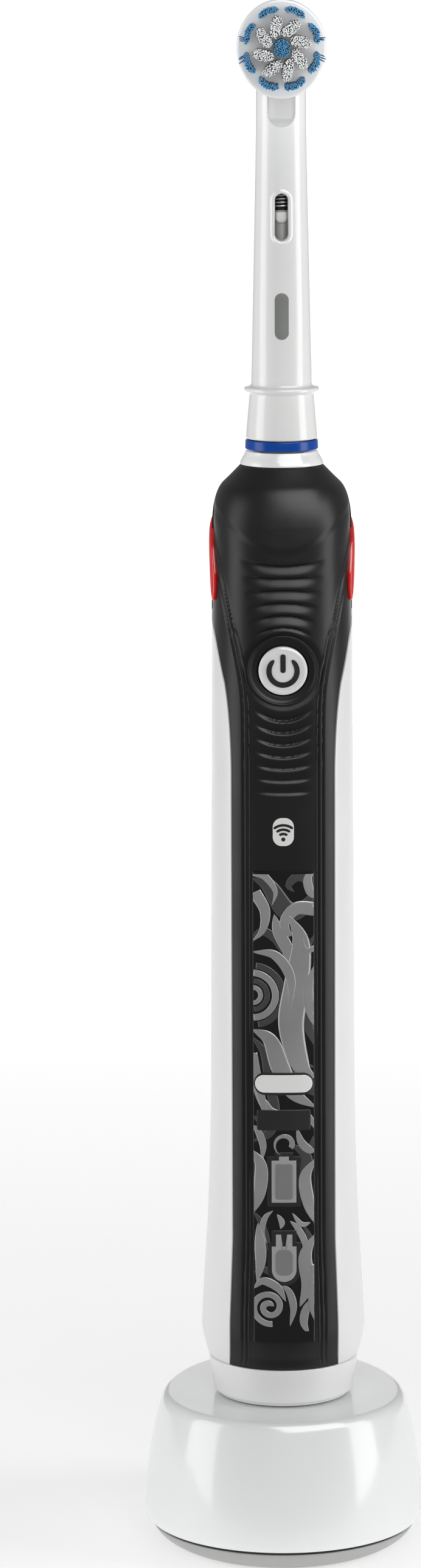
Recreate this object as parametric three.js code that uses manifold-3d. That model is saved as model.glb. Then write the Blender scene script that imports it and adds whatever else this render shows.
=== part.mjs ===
// An electric toothbrush standing on its induction charger.
// Millimetres, +Z up, the brush faces -Y. The origin is under the middle of the charger's box.
// The toothbrush group stands on the charger's top face, and the brush head group on the handle's neck.

import * as THREE from "three";
import { mergeVertices } from "three/addons/utils/BufferGeometryUtils.js";
import Module from "manifold-3d";

const wasm = await Module();
wasm.setup();

// ---------- driving dimensions ----------
const GAP = 0.3; // between pieces that touch
const SNUG = 0.12; // round an inlay in its pocket
const ROUND = 24; // sides of a large round piece
const SMALL_ROUND = 12; // sides of a small one
const CURVE_STEPS = 3; // steps in each curved stretch of an outline

// charger
const CHARGER_R = 24.35; // half its width, and its reach forward of the post
const CHARGER_REAR = 1.29; // how much longer its back half is than its front half
const CHARGER_TOP = 26.7;
const CHARGER_SEAM = 4.2; // height of the joint between housing and base plate
const CHARGER_WALL = 1.9;
const POST_R = 3.6;
const POST_TOP = 40;
const GLAND_Z = 10.2;
const GLAND_END = CHARGER_R * CHARGER_REAR + 1.6;

// handle, heights from its own foot
const HANDLE_GAP = 0.3; // from the charger's top face
const CAP_TOP = 6.8;
const BODY_FOOT = 6.95;
const BODY_TOP = 163.6;
const COVER = 0.9; // thickness of the soft cover
const COVER_BED = 1.15; // depth of the bed it lies in
const FRONT_DEPTH = 1.04; // the front is deeper than half the width by this
const FRONT_SQUARE = 0.5; // and squarer than a circle by this exponent
const PANEL_HALF = 5.35; // decorated strip
const PANEL_LOW = 12.2;
const PANEL_HIGH = 95;
const PANEL_DEEP = 0.4;
const LENS_DEEP = 2;
const BUTTON_H = 129.7;
const BUTTON_R = 4.18;
const BEZEL_R = 6;
const SHAFT_R = 1.5;
const SHAFT_LOW = 118.2;
const SHAFT_TOP = 186;

// gear train
const MODULE = 0.3;
const PINION_TEETH = 8;
const GEAR_TEETH = 24;
const GEAR_Y = (MODULE * (PINION_TEETH + GEAR_TEETH)) / 2;
const CRANK_R = 2.1;
const GEAR_LOW = 113.6;
const GEAR_FACE = 2.6;

// brush head, heights from its own foot
const HEAD_FOOT = 166.3; // above the handle's foot
const STEM_LOW = 1.75;
const FLANGE_LOW = 9.6;
const FLANGE_TOP = 10.7;
const STEM_BORE = 2.9;
const SOCKET_TOP = 21; // top of the rod's socket for the shaft
const DISC_H = 68.3; // height of the disc's axle
const DISC_HALF_W = 7.53;
const DISC_HALF_H = 8.02;
const DISC_LOW_H = 8.67; // reach of the disc under its axle
const DISC_BACK = 5.2; // forward of the stem's axis
const DISC_FRONT = 7.5;
const HUB_R = 2.05;
const AXLE_R = 0.75;
const DRIVE_DROP = 2.7; // the drive ball is this far under the disc's axle
const DRIVE_REACH = 2.4; // and this far forward of the rod's axis
const SLOT_HALF = 2.33;
const TUFT_TALL = 8;
const TUFTS = 8; // in each of the two rings

// ---------- solids ----------
function solid(geometry) {
  const bare = geometry.clone();
  for (const name of ["normal", "uv"]) bare.deleteAttribute(name);
  const merged = mergeVertices(bare, 1e-4);
  const index = merged.index.array;
  const kept = [];
  for (let i = 0; i < index.length; i += 3) {
    const [a, b, c] = [index[i], index[i + 1], index[i + 2]];
    if (a !== b && b !== c && c !== a) kept.push(a, b, c);
  }
  const vertProperties = new Float32Array(merged.attributes.position.array);
  const build = (triVerts) => new wasm.Manifold(new wasm.Mesh({ numProp: 3, vertProperties, triVerts }));
  const made = build(new Uint32Array(kept));
  return made.volume() > 0 ? made : build(new Uint32Array(kept.reverse()));
}

function geometryOf(made) {
  const mesh = made.getMesh();
  const positions = new Float32Array(mesh.numVert * 3);
  for (let i = 0; i < mesh.numVert; i++) {
    positions.set(mesh.vertProperties.subarray(i * mesh.numProp, i * mesh.numProp + 3), i * 3);
  }
  const geometry = new THREE.BufferGeometry();
  geometry.setAttribute("position", new THREE.BufferAttribute(positions, 3));
  geometry.setIndex(new THREE.BufferAttribute(mesh.triVerts, 1));
  geometry.computeVertexNormals();
  return geometry;
}

// A profile of [radius, height] points or a Path, turned about Z.
function turned(profile, segments = ROUND) {
  const points = Array.isArray(profile)
    ? profile.map(([r, h]) => new THREE.Vector2(r, h))
    : profile.getPoints(CURVE_STEPS);
  return new THREE.LatheGeometry(points, segments).rotateX(Math.PI / 2);
}

const lathe = (profile, segments) => solid(turned(profile, segments));

// A ring of square section.
const ring = (inner, outer, low, high, segments = ROUND) =>
  lathe([[inner, low], [outer, low], [outer, high], [inner, high], [inner, low]], segments);

const rod = (radius, low, high, segments = SMALL_ROUND) =>
  lathe([[0, low], [radius, low], [radius, high], [0, high]], segments);

const box = (width, depth, height, x, y, low) =>
  solid(new THREE.BoxGeometry(width, depth, height).translate(x, y, low + height / 2));

// A shape drawn in (x, height), extruded forward from `behind` to `ahead`, both counted towards -Y.
function forward(shape, behind, ahead, curveSegments = 6) {
  const options = { depth: ahead - behind, bevelEnabled: false, curveSegments };
  const geometry = new THREE.ExtrudeGeometry(shape, options);
  return solid(geometry.translate(0, 0, behind).rotateX(Math.PI / 2));
}

// A shape drawn in (x, y), extruded up from `low` to `high`.
function upward(shape, low, high, curveSegments = 6) {
  const options = { depth: high - low, bevelEnabled: false, curveSegments };
  return solid(new THREE.ExtrudeGeometry(shape, options).translate(0, 0, low));
}

function warped(geometry, move) {
  const p = geometry.attributes.position;
  for (let i = 0; i < p.count; i++) p.setXYZ(i, ...move(p.getX(i), p.getY(i), p.getZ(i)));
  return geometry;
}

const circle = (x, h, radius) => new THREE.Shape().absarc(x, h, radius, 0, 2 * Math.PI);

function roundedBox(x, h, width, height, radius) {
  const [l, r, b, t] = [x - width / 2, x + width / 2, h - height / 2, h + height / 2];
  const shape = new THREE.Shape().moveTo(l + radius, b);
  shape.absarc(r - radius, b + radius, radius, -Math.PI / 2, 0);
  shape.absarc(r - radius, t - radius, radius, 0, Math.PI / 2);
  shape.absarc(l + radius, t - radius, radius, Math.PI / 2, Math.PI);
  shape.absarc(l + radius, b + radius, radius, Math.PI, 1.5 * Math.PI);
  return shape;
}

const smooth = (v, from, to) => THREE.MathUtils.smoothstep(v, from, to);

// ---------- materials ----------
function plastic(color, roughness, extra = {}) {
  return new THREE.MeshStandardMaterial({ color, roughness, metalness: 0, ...extra });
}
const metal = (color, roughness) => new THREE.MeshStandardMaterial({ color, roughness, metalness: 1 });

const whiteGloss = plastic(0xf2f2f0, 0.18);
const whiteSatin = plastic(0xe4e4e2, 0.4);
const blackSoft = plastic(0x1c1c1c, 0.55);
const blackGloss = plastic(0x0b0b0c, 0.15);
const greyLens = plastic(0x808080, 0.3);
const redLens = plastic(0xd80a0a, 0.2, { transparent: true, opacity: 0.9 });
const blueRing = plastic(0x00469c, 0.2);
const rubber = plastic(0x202022, 0.8);
const whiteBristle = plastic(0xf0f0ee, 0.5);
const blueBristle = plastic(0x2479b8, 0.5);
const steel = metal(0xb8babd, 0.3);
const copper = metal(0xb4683a, 0.4);
const ferrite = plastic(0x2e2e30, 0.7);
const board = plastic(0x1f6b3a, 0.5);
const cellWrap = plastic(0x2c6e9e, 0.35);
const acetal = plastic(0xd9d6cc, 0.45);

function piece(name, made, material) {
  const mesh = new THREE.Mesh(geometryOf(made), material);
  mesh.name = name;
  return mesh;
}

// ---------- charger ----------
const egg = (x, y, z) => [x, y > 0 ? y * CHARGER_REAR : y, z];

// The outer side, from the seam up to the top face.
function chargerProfile() {
  const path = new THREE.Path().moveTo(0, CHARGER_SEAM + 0.1);
  path.lineTo(CHARGER_R - 1.05, CHARGER_SEAM + 0.1);
  path.lineTo(CHARGER_R, 5.7);
  path.quadraticCurveTo(CHARGER_R, 15.5, 21.75, 24.7);
  path.quadraticCurveTo(21.3, CHARGER_TOP, 19.9, CHARGER_TOP);
  path.lineTo(0, CHARGER_TOP);
  return path;
}

function chargerHollow() {
  const path = new THREE.Path().moveTo(0, CHARGER_SEAM - 2);
  path.lineTo(CHARGER_R - 2.5, CHARGER_SEAM - 2);
  path.lineTo(CHARGER_R - 2.5, 5.7);
  path.quadraticCurveTo(CHARGER_R - CHARGER_WALL, 15.5, 19.8, CHARGER_TOP - CHARGER_WALL);
  path.lineTo(0, CHARGER_TOP - CHARGER_WALL);
  return path;
}

// A turned piece along Y, at the height of the cord's way out. Profile points are [radius, y].
const alongRear = (profile) =>
  solid(turned(profile, SMALL_ROUND).rotateX(-Math.PI / 2).translate(0, 0, GLAND_Z));

function chargerHousing() {
  const post = lathe([[0, CHARGER_TOP - 1], [POST_R, CHARGER_TOP - 1], [POST_R, POST_TOP - 0.8],
    [POST_R - 0.8, POST_TOP], [0, POST_TOP]], SMALL_ROUND);
  return solid(warped(turned(chargerProfile()), egg))
    .add(post)
    .subtract(solid(warped(turned(chargerHollow()), egg)))
    .subtract(rod(POST_R - 0.9, CHARGER_TOP - CHARGER_WALL - 1, POST_TOP - 1))
    .subtract(alongRear([[0, 20], [3.1, 20], [3.1, 40], [0, 40]]));
}

function basePlate() {
  const lip = CHARGER_R - 2.9;
  const path = new THREE.Path().moveTo(0, 0);
  path.lineTo(18.1, 0);
  path.quadraticCurveTo(21.6, 0.9, CHARGER_R - 1.25, CHARGER_SEAM - 0.25);
  path.lineTo(lip, CHARGER_SEAM - 0.25);
  path.lineTo(lip, 6.1);
  path.lineTo(lip - 1.2, 6.1);
  path.lineTo(lip - 1.2, 1.8);
  path.lineTo(0, 1.8);
  return solid(warped(turned(path), egg));
}

function seamGasket() {
  const [inner, outer] = [CHARGER_R - 2.75, CHARGER_R - 1.5];
  const [low, high] = [CHARGER_SEAM - 0.15, CHARGER_SEAM];
  const profile = [[inner, low], [outer, low], [outer, high], [inner, high], [inner, low]];
  return solid(warped(turned(profile), egg));
}

function cordGland() {
  const wall = CHARGER_R * CHARGER_REAR;
  return alongRear([[1.6, wall - 6], [3.7, wall - 6], [3.7, wall - 4.6], [2.8, wall - 4.6],
    [2.6, GLAND_END], [1.6, GLAND_END], [1.6, wall - 6]]);
}

function charger() {
  const group = new THREE.Group();
  const chargingCore = rod(1, 10, POST_TOP - 1.8, 12);
  const bobbin = lathe([[1.15, 9], [6, 9], [6, 10.4], [1.4, 10.4], [1.4, 36.5], [2.4, 36.5], [2.4, 37.4],
    [1.15, 37.4], [1.15, 9]], SMALL_ROUND);
  const capacitor = rod(4.2, 9.3, 20.5, SMALL_ROUND).translate([0, 15, 0]);
  const supplyBoard = box(20, 13, 1.4, 0, 15, 7.6);
  group.add(
    piece("charger_housing", chargerHousing(), whiteGloss),
    piece("charger_base_plate", basePlate(), whiteSatin),
    piece("charger_seam_gasket", seamGasket(), rubber),
    piece("cord_gland", cordGland(), rubber),
    piece("charger_ferrite_core", chargingCore, ferrite),
    piece("charger_coil_former", bobbin, acetal),
    piece("charger_primary_coil", ring(1.55, 2.35, 25.5, 36.2, SMALL_ROUND), copper),
    piece("charger_circuit_board", supplyBoard, board),
    piece("charger_capacitor", capacitor, cellWrap),
  );
  return group;
}

// ---------- handle ----------
// The body's half width against height, taken in by `inset`.
function bodyProfile(inset, low = BODY_FOOT, high = BODY_TOP) {
  const path = new THREE.Path().moveTo(0, low);
  path.lineTo(13.05 - inset, low);
  if (low < BODY_FOOT) path.lineTo(13.05 - inset, BODY_FOOT);
  path.quadraticCurveTo(14.25 - inset, 8.7, 14.3 - inset, 12.3);
  path.quadraticCurveTo(14.1 - inset, 17, 13.35 - inset, 28.8);
  path.quadraticCurveTo(12.65 - inset, 41, 12.5 - inset, 58);
  path.lineTo(12.33 - inset, 95);
  path.lineTo(12.1 - inset, 133);
  path.lineTo(11.95 - inset, 154);
  path.quadraticCurveTo(11.75 - inset, 158.8, 10.1 - inset, 160.6);
  path.lineTo(7.1 - inset, BODY_TOP);
  if (high > BODY_TOP) path.lineTo(7.1 - inset, high);
  path.lineTo(0, high);
  return path;
}

// The handle's section: round behind, and deeper and squarer in front, fading to round at both ends.
function handleSection(x, y, h) {
  const r = Math.hypot(x, y);
  if (y >= 0 || r < 1e-6) return [x, y, h];
  const fade = smooth(h, 7, 30) * (1 - smooth(h, 150, 163));
  const power = 2 / (2 + FRONT_SQUARE * fade);
  const depth = 1 + (FRONT_DEPTH - 1) * fade;
  return [Math.sign(x) * r * Math.abs(x / r) ** power, -depth * r * Math.abs(y / r) ** power, h];
}

const body = (inset, low, high) => solid(warped(turned(bodyProfile(inset, low, high)), handleSection));
const bodyLayer = (outer, inner) =>
  body(outer).subtract(body(inner, BODY_FOOT - 2, BODY_TOP + 2));

// The soft cover's outline seen from the front, grown by `grow`: a strip that widens with the body's swell at
// the foot and flares over the shoulders.
function coverFront(grow) {
  const [half, low] = [8.85 + grow, 9.4 + grow];
  const shape = new THREE.Shape().moveTo(-low, 0);
  shape.lineTo(low, 0).lineTo(low, 15).lineTo(half, 30).lineTo(half, 112);
  shape.quadraticCurveTo(half + 0.1, 121, 9.95 + grow, 127);
  shape.quadraticCurveTo(11.2 + grow, 132, 12.15 + grow, 139.2);
  shape.lineTo(20, 141);
  shape.lineTo(20, 170);
  shape.lineTo(-20, 170);
  shape.lineTo(-20, 141);
  shape.lineTo(-12.15 - grow, 139.2);
  shape.quadraticCurveTo(-11.2 - grow, 132, -9.95 - grow, 127);
  shape.quadraticCurveTo(-half - 0.1, 121, -half, 112);
  return shape.lineTo(-half, 30).lineTo(-low, 15);
}

// Its outline behind: a tongue between the shoulders.
function coverBack(grow) {
  const shape = new THREE.Shape().moveTo(20, 170);
  shape.lineTo(-20, 170);
  shape.lineTo(-20, 141);
  shape.lineTo(-12.15 - grow, 139.2);
  shape.quadraticCurveTo(-9 - grow, 120 - grow, 0, 117 - grow);
  shape.quadraticCurveTo(9 + grow, 120 - grow, 12.15 + grow, 139.2);
  shape.lineTo(20, 141);
  return shape;
}

const coverRegion = (grow) =>
  forward(coverFront(grow), -0.01, 20).add(forward(coverBack(grow), -20, 0.01));

const panelShape = (grow) =>
  roundedBox(0, (PANEL_LOW + PANEL_HIGH) / 2, 2 * (PANEL_HALF + grow), PANEL_HIGH - PANEL_LOW + 2 * grow, 1);

function batteryShape(grow) {
  const [half, low, high] = [2.13 + grow, 37 - grow, 44.4 + grow];
  const nub = 0.85 + grow;
  const shape = new THREE.Shape().moveTo(-half, low);
  shape.lineTo(half, low).lineTo(half, high).lineTo(nub, high).lineTo(nub, high + 0.7);
  return shape.lineTo(-nub, high + 0.7).lineTo(-nub, high).lineTo(-half, high);
}

function plugShape(grow) {
  const [half, high, tip] = [2.13 + grow, 29.3 + grow, 31.4 + grow];
  const [near, far] = [0.53 - grow, 1.42 + grow];
  const shape = new THREE.Shape().moveTo(-half, 25.2);
  shape.absarc(0, 25.2, half, Math.PI, 2 * Math.PI);
  shape.lineTo(half, high).lineTo(far, high).lineTo(far, tip).lineTo(near, tip).lineTo(near, high);
  shape.lineTo(-near, high).lineTo(-near, tip).lineTo(-far, tip).lineTo(-far, high);
  return shape.lineTo(-half, high);
}

const indicatorShape = (grow) => roundedBox(0, 101.8, 3.65 + 2 * grow, 4.85 + 2 * grow, 1.6 + grow);
const lensShapes = [batteryShape, plugShape, indicatorShape];
const FRONT_START = 8; // forward reach at which the front cuts begin

// The pressure light's band seen from the side, as [towards the front, height]: up each arm and over the back.
function lightBand(grow) {
  const half = 1.5 + grow;
  const shape = new THREE.Shape().moveTo(-14, 153.6 - half);
  shape.quadraticCurveTo(-2.2, 154.4 - half, 1.9 - half * 0.2, 141.6);
  shape.absarc(3.7, 141.6, half, Math.PI, 2 * Math.PI);
  shape.quadraticCurveTo(1.6 + half * 0.6, 155.2 + half, -14, 156.2 + half * 0.6);
  return shape;
}

function lightSolid(outer, inner, grow) {
  const geometry = new THREE.ExtrudeGeometry(lightBand(grow), { depth: 40, bevelEnabled: false, curveSegments: 8 });
  geometry.translate(0, 0, -20).rotateX(Math.PI / 2).rotateZ(-Math.PI / 2);
  return bodyLayer(outer, inner).intersect(solid(geometry));
}

function cutFrontOpenings(made, buttonRadius) {
  let cut = made.subtract(forward(circle(0, BUTTON_H, buttonRadius), FRONT_START, 20, 12));
  for (const shape of lensShapes) cut = cut.subtract(forward(shape(SNUG), FRONT_START, 20));
  return cut;
}

function softCover() {
  const whole = bodyLayer(0, COVER).intersect(coverRegion(0));
  const panelPocket = bodyLayer(-1, PANEL_DEEP + SNUG).intersect(forward(panelShape(SNUG), FRONT_START, 20));
  return cutFrontOpenings(whole.subtract(panelPocket), BEZEL_R + SNUG).subtract(lightSolid(-1, 0.72, SNUG));
}

function handleShell() {
  const bed = coverRegion(GAP).subtract(body(COVER_BED, BODY_FOOT - 2, BODY_TOP + 2));
  const inside = lathe([[0, 5], [10.8, 5], [11.6, 13], [11, 28], [10.2, 50], [9.75, 150], [8.2, 159],
    [4.95, 162.2], [4.95, 166], [0, 166]]);
  return cutFrontOpenings(body(0).subtract(inside).subtract(bed), BUTTON_R + GAP);
}

function decorPanel() {
  let panel = bodyLayer(0, PANEL_DEEP).intersect(forward(panelShape(0), FRONT_START, 20));
  for (const shape of lensShapes) panel = panel.subtract(forward(shape(SNUG), FRONT_START, 20));
  return panel;
}

const lens = (shape) => bodyLayer(0, LENS_DEEP).intersect(forward(shape(0), FRONT_START, 20));

function buttonBezel() {
  const outline = circle(0, BUTTON_H, BEZEL_R);
  outline.holes.push(new THREE.Path().absarc(0, BUTTON_H, BUTTON_R + 0.2, 0, 2 * Math.PI));
  return bodyLayer(0.35, COVER).intersect(forward(outline, FRONT_START, 20, 12));
}

function powerButton() {
  const reach = 12.13 * FRONT_DEPTH;
  const profile = [[0, reach - 2.3], [BUTTON_R, reach - 2.3], [BUTTON_R, reach - 0.25], [BUTTON_R - 0.5, reach],
    [0, reach + 0.12]];
  return solid(turned(profile, 24).rotateX(Math.PI / 2).translate(0, 0, BUTTON_H));
}

function endCap() {
  const path = new THREE.Path().moveTo(0, 16);
  path.lineTo(0, 14.6).lineTo(4.2, 14.6).lineTo(4.2, 0).lineTo(11.6, 0);
  path.quadraticCurveTo(12.2, 0, 12.3, 0.7);
  path.lineTo(13.05, CAP_TOP).lineTo(10.5, CAP_TOP).lineTo(10.5, 8.7).lineTo(9.75, 8.7).lineTo(9.75, 9.9);
  path.lineTo(10.5, 9.9).lineTo(10.5, 11.6).lineTo(8.9, 11.6).lineTo(8.9, 2).lineTo(5.2, 2).lineTo(5.2, 16);
  path.lineTo(0, 16);
  return lathe(path);
}

function neckCollar() {
  const path = new THREE.Path().moveTo(2.6, 156);
  path.lineTo(4.6, 156).lineTo(4.6, 163.75).lineTo(7.13, 163.75).lineTo(7.13, 164.3);
  path.quadraticCurveTo(6.6, 164.9, 6.3, 166);
  path.lineTo(3.7, 166).lineTo(2.9, 172).lineTo(1.75, 172).lineTo(1.75, 163).lineTo(2.6, 163).lineTo(2.6, 156);
  return lathe(path);
}

// A tray behind the battery and the motor, with a bulkhead above each and a bearing plate over the gears.
function chassis() {
  const [low, top] = [23, 129];
  const tray = ring(8.9, 9.55, low, top).intersect(box(30, 20, 200, 0, 10.5, 0));
  const plate = (at, thick) => rod(9, at, at + thick, ROUND).intersect(box(30, 20, 200, 0, 3.2, 0));
  return tray
    .add(plate(77, 2))
    .add(plate(110, 1.6))
    .add(plate(127, 2))
    .subtract(rod(1.6, 105, 113))
    .subtract(rod(2.65, 124, 131))
    .add(rod(0.75, 111, 117, 12).translate([0, GEAR_Y, 0]));
}

function toothed(teeth, phase, bore) {
  const pitch = (MODULE * teeth) / 2;
  const [root, tip] = [pitch - 1.25 * MODULE, pitch + 0.85 * MODULE];
  const step = (2 * Math.PI) / teeth;
  const corners = [[root, -0.26], [tip, -0.11], [tip, 0.11], [root, 0.26]];
  const points = [];
  for (let tooth = 0; tooth < teeth; tooth++) {
    for (const [radius, share] of corners) {
      const angle = phase + (tooth + share) * step;
      points.push(new THREE.Vector2(radius * Math.cos(angle), radius * Math.sin(angle)));
    }
  }
  const shape = new THREE.Shape(points);
  if (bore) shape.holes.push(new THREE.Path().absarc(0, 0, bore, 0, 2 * Math.PI));
  return shape;
}

function motorPinion() {
  const teeth = upward(toothed(PINION_TEETH, Math.PI / 2, 0), GEAR_LOW, GEAR_LOW + GEAR_FACE);
  return teeth.add(rod(0.6, 103, GEAR_LOW + GEAR_FACE + 0.6, 12));
}

function crankGear() {
  const phase = -Math.PI / 2 + Math.PI / GEAR_TEETH;
  const crankPin = rod(0.5, GEAR_LOW + 1, 119.4, 12).translate([0, CRANK_R, 0]);
  return upward(toothed(GEAR_TEETH, phase, 0.85), GEAR_LOW, GEAR_LOW + GEAR_FACE)
    .add(crankPin)
    .translate([0, GEAR_Y, 0]);
}

function rocker() {
  const outline = new THREE.Shape().absarc(0, 0, 2.8, Math.PI, 2 * Math.PI);
  outline.absarc(0, GEAR_Y + CRANK_R + 0.2, 1.3, 0, Math.PI);
  const bore = new THREE.Path().absarc(0, 0, SHAFT_R + 0.1, 0, 2 * Math.PI);
  const slot = new THREE.Path().absarc(0, GEAR_Y + CRANK_R, 0.65, 0, Math.PI);
  slot.absarc(0, GEAR_Y - CRANK_R + 0.4, 0.65, Math.PI, 2 * Math.PI);
  outline.holes.push(bore, slot);
  return upward(outline, 119.7, 121.5);
}

function driveShaft() {
  const flat = box(4, 2, 20, 0, -SHAFT_R, 174.5);
  return rod(SHAFT_R, SHAFT_LOW, SHAFT_TOP).subtract(flat);
}

function motorCan() {
  return lathe([[0, 81.5], [6.9, 81.5], [6.9, 108.3], [3, 108.3], [3, 109.4], [0.9, 109.4], [0.9, 102], [0, 102]]);
}

function batteryCell() {
  const cell = lathe([[0, 25.2], [7.1, 25.2], [7.1, 73.6], [2.6, 73.6], [2.6, 74.8], [0, 74.8]]);
  return cell.translate([0, 0.8, 0]);
}

function handle() {
  const group = new THREE.Group();
  const mainBoard = box(9.6, 0.9, 118, 0, -7.75, 22);
  const capSeal = new THREE.TorusGeometry(10.16, 0.36, 5, ROUND).translate(0, 0, 9.3);
  group.add(
    piece("handle_shell", handleShell(), whiteSatin),
    piece("soft_grip_cover", softCover(), blackSoft),
    piece("decor_panel", decorPanel(), blackGloss),
    piece("battery_window", lens(batteryShape), greyLens),
    piece("plug_window", lens(plugShape), greyLens),
    piece("wireless_window", lens(indicatorShape), whiteGloss),
    piece("pressure_light_lens", lightSolid(-0.55, 0.6, 0), redLens),
    piece("button_bezel", buttonBezel(), blackSoft),
    piece("power_button", powerButton(), whiteGloss),
    piece("tactile_switch", box(4.4, 1.1, 4.4, 0, -9.05, BUTTON_H - 2.2), ferrite),
    piece("end_cap", endCap(), whiteSatin),
    piece("cap_seal_ring", solid(capSeal), rubber),
    piece("receiver_coil", ring(5.35, 7.4, 2.6, 13.8), copper),
    piece("battery_cell", batteryCell(), cellWrap),
    piece("chassis", chassis(), acetal),
    piece("main_circuit_board", mainBoard, board),
    piece("motor_can", motorCan(), steel),
    piece("motor_pinion", motorPinion(), steel),
    piece("crank_gear", crankGear(), acetal),
    piece("rocker_arm", rocker(), acetal),
    piece("drive_shaft", driveShaft(), steel),
    piece("lower_shaft_bush", ring(SHAFT_R + 0.1, 2.5, 126.6, 129.6, SMALL_ROUND), acetal),
    piece("upper_shaft_bush", ring(SHAFT_R + 0.1, 2.45, 156.6, 162.4, SMALL_ROUND), acetal),
    piece("neck_collar", neckCollar(), whiteGloss),
    piece("shaft_seal", ring(SHAFT_R + 0.1, 2.7, 172.15, 173.2, SMALL_ROUND), rubber),
  );
  return group;
}

// ---------- brush head ----------
function stemOuter() {
  const path = new THREE.Path().moveTo(0, STEM_LOW);
  path.lineTo(6.12, STEM_LOW).lineTo(5.45, FLANGE_LOW).lineTo(6.2, FLANGE_LOW + 0.1);
  path.quadraticCurveTo(6.7, FLANGE_LOW + 0.55, 6.1, FLANGE_TOP);
  path.lineTo(5.2, FLANGE_TOP + 0.4);
  path.lineTo(4.25, 56).lineTo(4.2, 68);
  path.quadraticCurveTo(4.1, 72.9, 0, 73.2);
  return path;
}

// The stem is a little shallower than it is wide.
const stemSection = (x, y, h) => [x, y * (1 - 0.06 * smooth(h, FLANGE_TOP, 25)), h];

// A slot with round ends from `low` to `high`, in (x, height).
function slotShape(half, low, high) {
  const shape = new THREE.Shape().absarc(0, high - half, half, 0, Math.PI);
  shape.absarc(0, low + half, half, Math.PI, 2 * Math.PI);
  return shape;
}

function headStem() {
  const hollow = lathe([[0, 0], [5.15, 0], [5.15, 7], [3.4, 7.6], [3.4, 20], [STEM_BORE, 24],
    [STEM_BORE, 66.8], [0, 66.8]]);
  const axleHole = solid(turned([[0, -5], [AXLE_R + 0.05, -5], [AXLE_R + 0.05, 2.9], [0, 2.9]], 12)
    .rotateX(-Math.PI / 2).translate(0, 0, DISC_H));
  return solid(warped(turned(stemOuter()), stemSection))
    .subtract(hollow)
    .subtract(forward(slotShape(SLOT_HALF, 54.8, DISC_H + SLOT_HALF), 0.3, 9))
    .subtract(forward(slotShape(1.2, 35.6, 43.6), 0.3, 9))
    .subtract(axleHole);
}

function driveRod() {
  const shank = lathe([[0, SOCKET_TOP], [0, 62], [1.5, 62], [1.9, 61], [1.9, SOCKET_TOP + 1.5], [2.6, SOCKET_TOP - 1],
    [2.6, 8], [SHAFT_R + 0.15, 8], [SHAFT_R + 0.15, SOCKET_TOP], [0, SOCKET_TOP]]);
  const arm = box(1.1, DRIVE_REACH + 0.3, 1.2, 0, -(DRIVE_REACH + 0.3) / 2, 61);
  const neck = rod(0.27, 61.5, DISC_H - DRIVE_DROP, 8).translate([0, -DRIVE_REACH, 0]);
  const ball = new THREE.SphereGeometry(0.43, 10, 8).translate(0, -DRIVE_REACH, DISC_H - DRIVE_DROP);
  const pad = forward(slotShape(0.85, 38.6, 40.5), 1.2, 2.65, 4);
  const flat = box(6, 2, 3.2, 0, -2.4, 35.2);
  return shank.subtract(flat).add(arm).add(neck).add(solid(ball)).add(pad);
}

function rodSpring() {
  const [turns, steps, pitch, low, radius] = [10, 8, 0.6, 41, 2.32];
  const points = [];
  for (let i = 0; i <= turns * steps; i++) {
    const angle = (2 * Math.PI * i) / steps;
    points.push(new THREE.Vector3(radius * Math.cos(angle), radius * Math.sin(angle), low + (pitch * i) / steps));
  }
  const wire = new THREE.Shape(Array.from({ length: 4 }, (_, i) => {
    const angle = (2 * Math.PI * i) / 4;
    return new THREE.Vector2(0.17 * Math.cos(angle), 0.17 * Math.sin(angle));
  }));
  const extrudePath = new THREE.CatmullRomCurve3(points);
  return solid(new THREE.ExtrudeGeometry(wire, { extrudePath, steps: turns * steps, bevelEnabled: false }));
}

function bristleDisc() {
  const outline = new THREE.Shape()
    .absellipse(0, DISC_H, DISC_HALF_W, DISC_HALF_H, 0, Math.PI)
    .absellipse(0, DISC_H, DISC_HALF_W, DISC_LOW_H, Math.PI, 2 * Math.PI);
  const fork = (side) => box(0.45, 1.9, 1.4, side * 0.8, -(DRIVE_REACH - 0.1), DISC_H - 3.1);
  return forward(outline, DISC_BACK, DISC_FRONT, 18)
    .add(forward(circle(0, DISC_H, HUB_R), 0.6, DISC_BACK + 0.5, 9))
    .subtract(forward(circle(0, DISC_H, AXLE_R + 0.1), 0, 6.6, 6))
    .add(fork(1))
    .add(fork(-1));
}

const tuft = (shape) => forward(shape, DISC_FRONT + 0.1, DISC_FRONT + TUFT_TALL, 4);

// An oval tuft of the inner ring, its length turned back from the radius like a pinwheel's blade.
function innerTuft(i) {
  const angle = THREE.MathUtils.degToRad(17 + (360 / TUFTS) * i);
  const lean = angle - THREE.MathUtils.degToRad(28);
  const [x, h] = [3.35 * Math.cos(angle), DISC_H + 3.75 * Math.sin(angle)];
  return tuft(new THREE.Shape().absellipse(x, h, 1.72, 0.82, 0, 2 * Math.PI, false, lean));
}

// A bowed tuft of the outer ring, bent more sharply than the disc's edge.
function outerTuft(i) {
  const middle = THREE.MathUtils.degToRad(22.5 + (360 / TUFTS) * i);
  const half = THREE.MathUtils.degToRad(34);
  const [x, h] = [2.75 * Math.cos(middle), DISC_H + 2.85 * Math.sin(middle)];
  const shape = new THREE.Shape().absarc(x, h, 3.8, middle - half, middle + half);
  return tuft(shape.absarc(x, h, 2.85, middle + half, middle - half, true));
}

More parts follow.
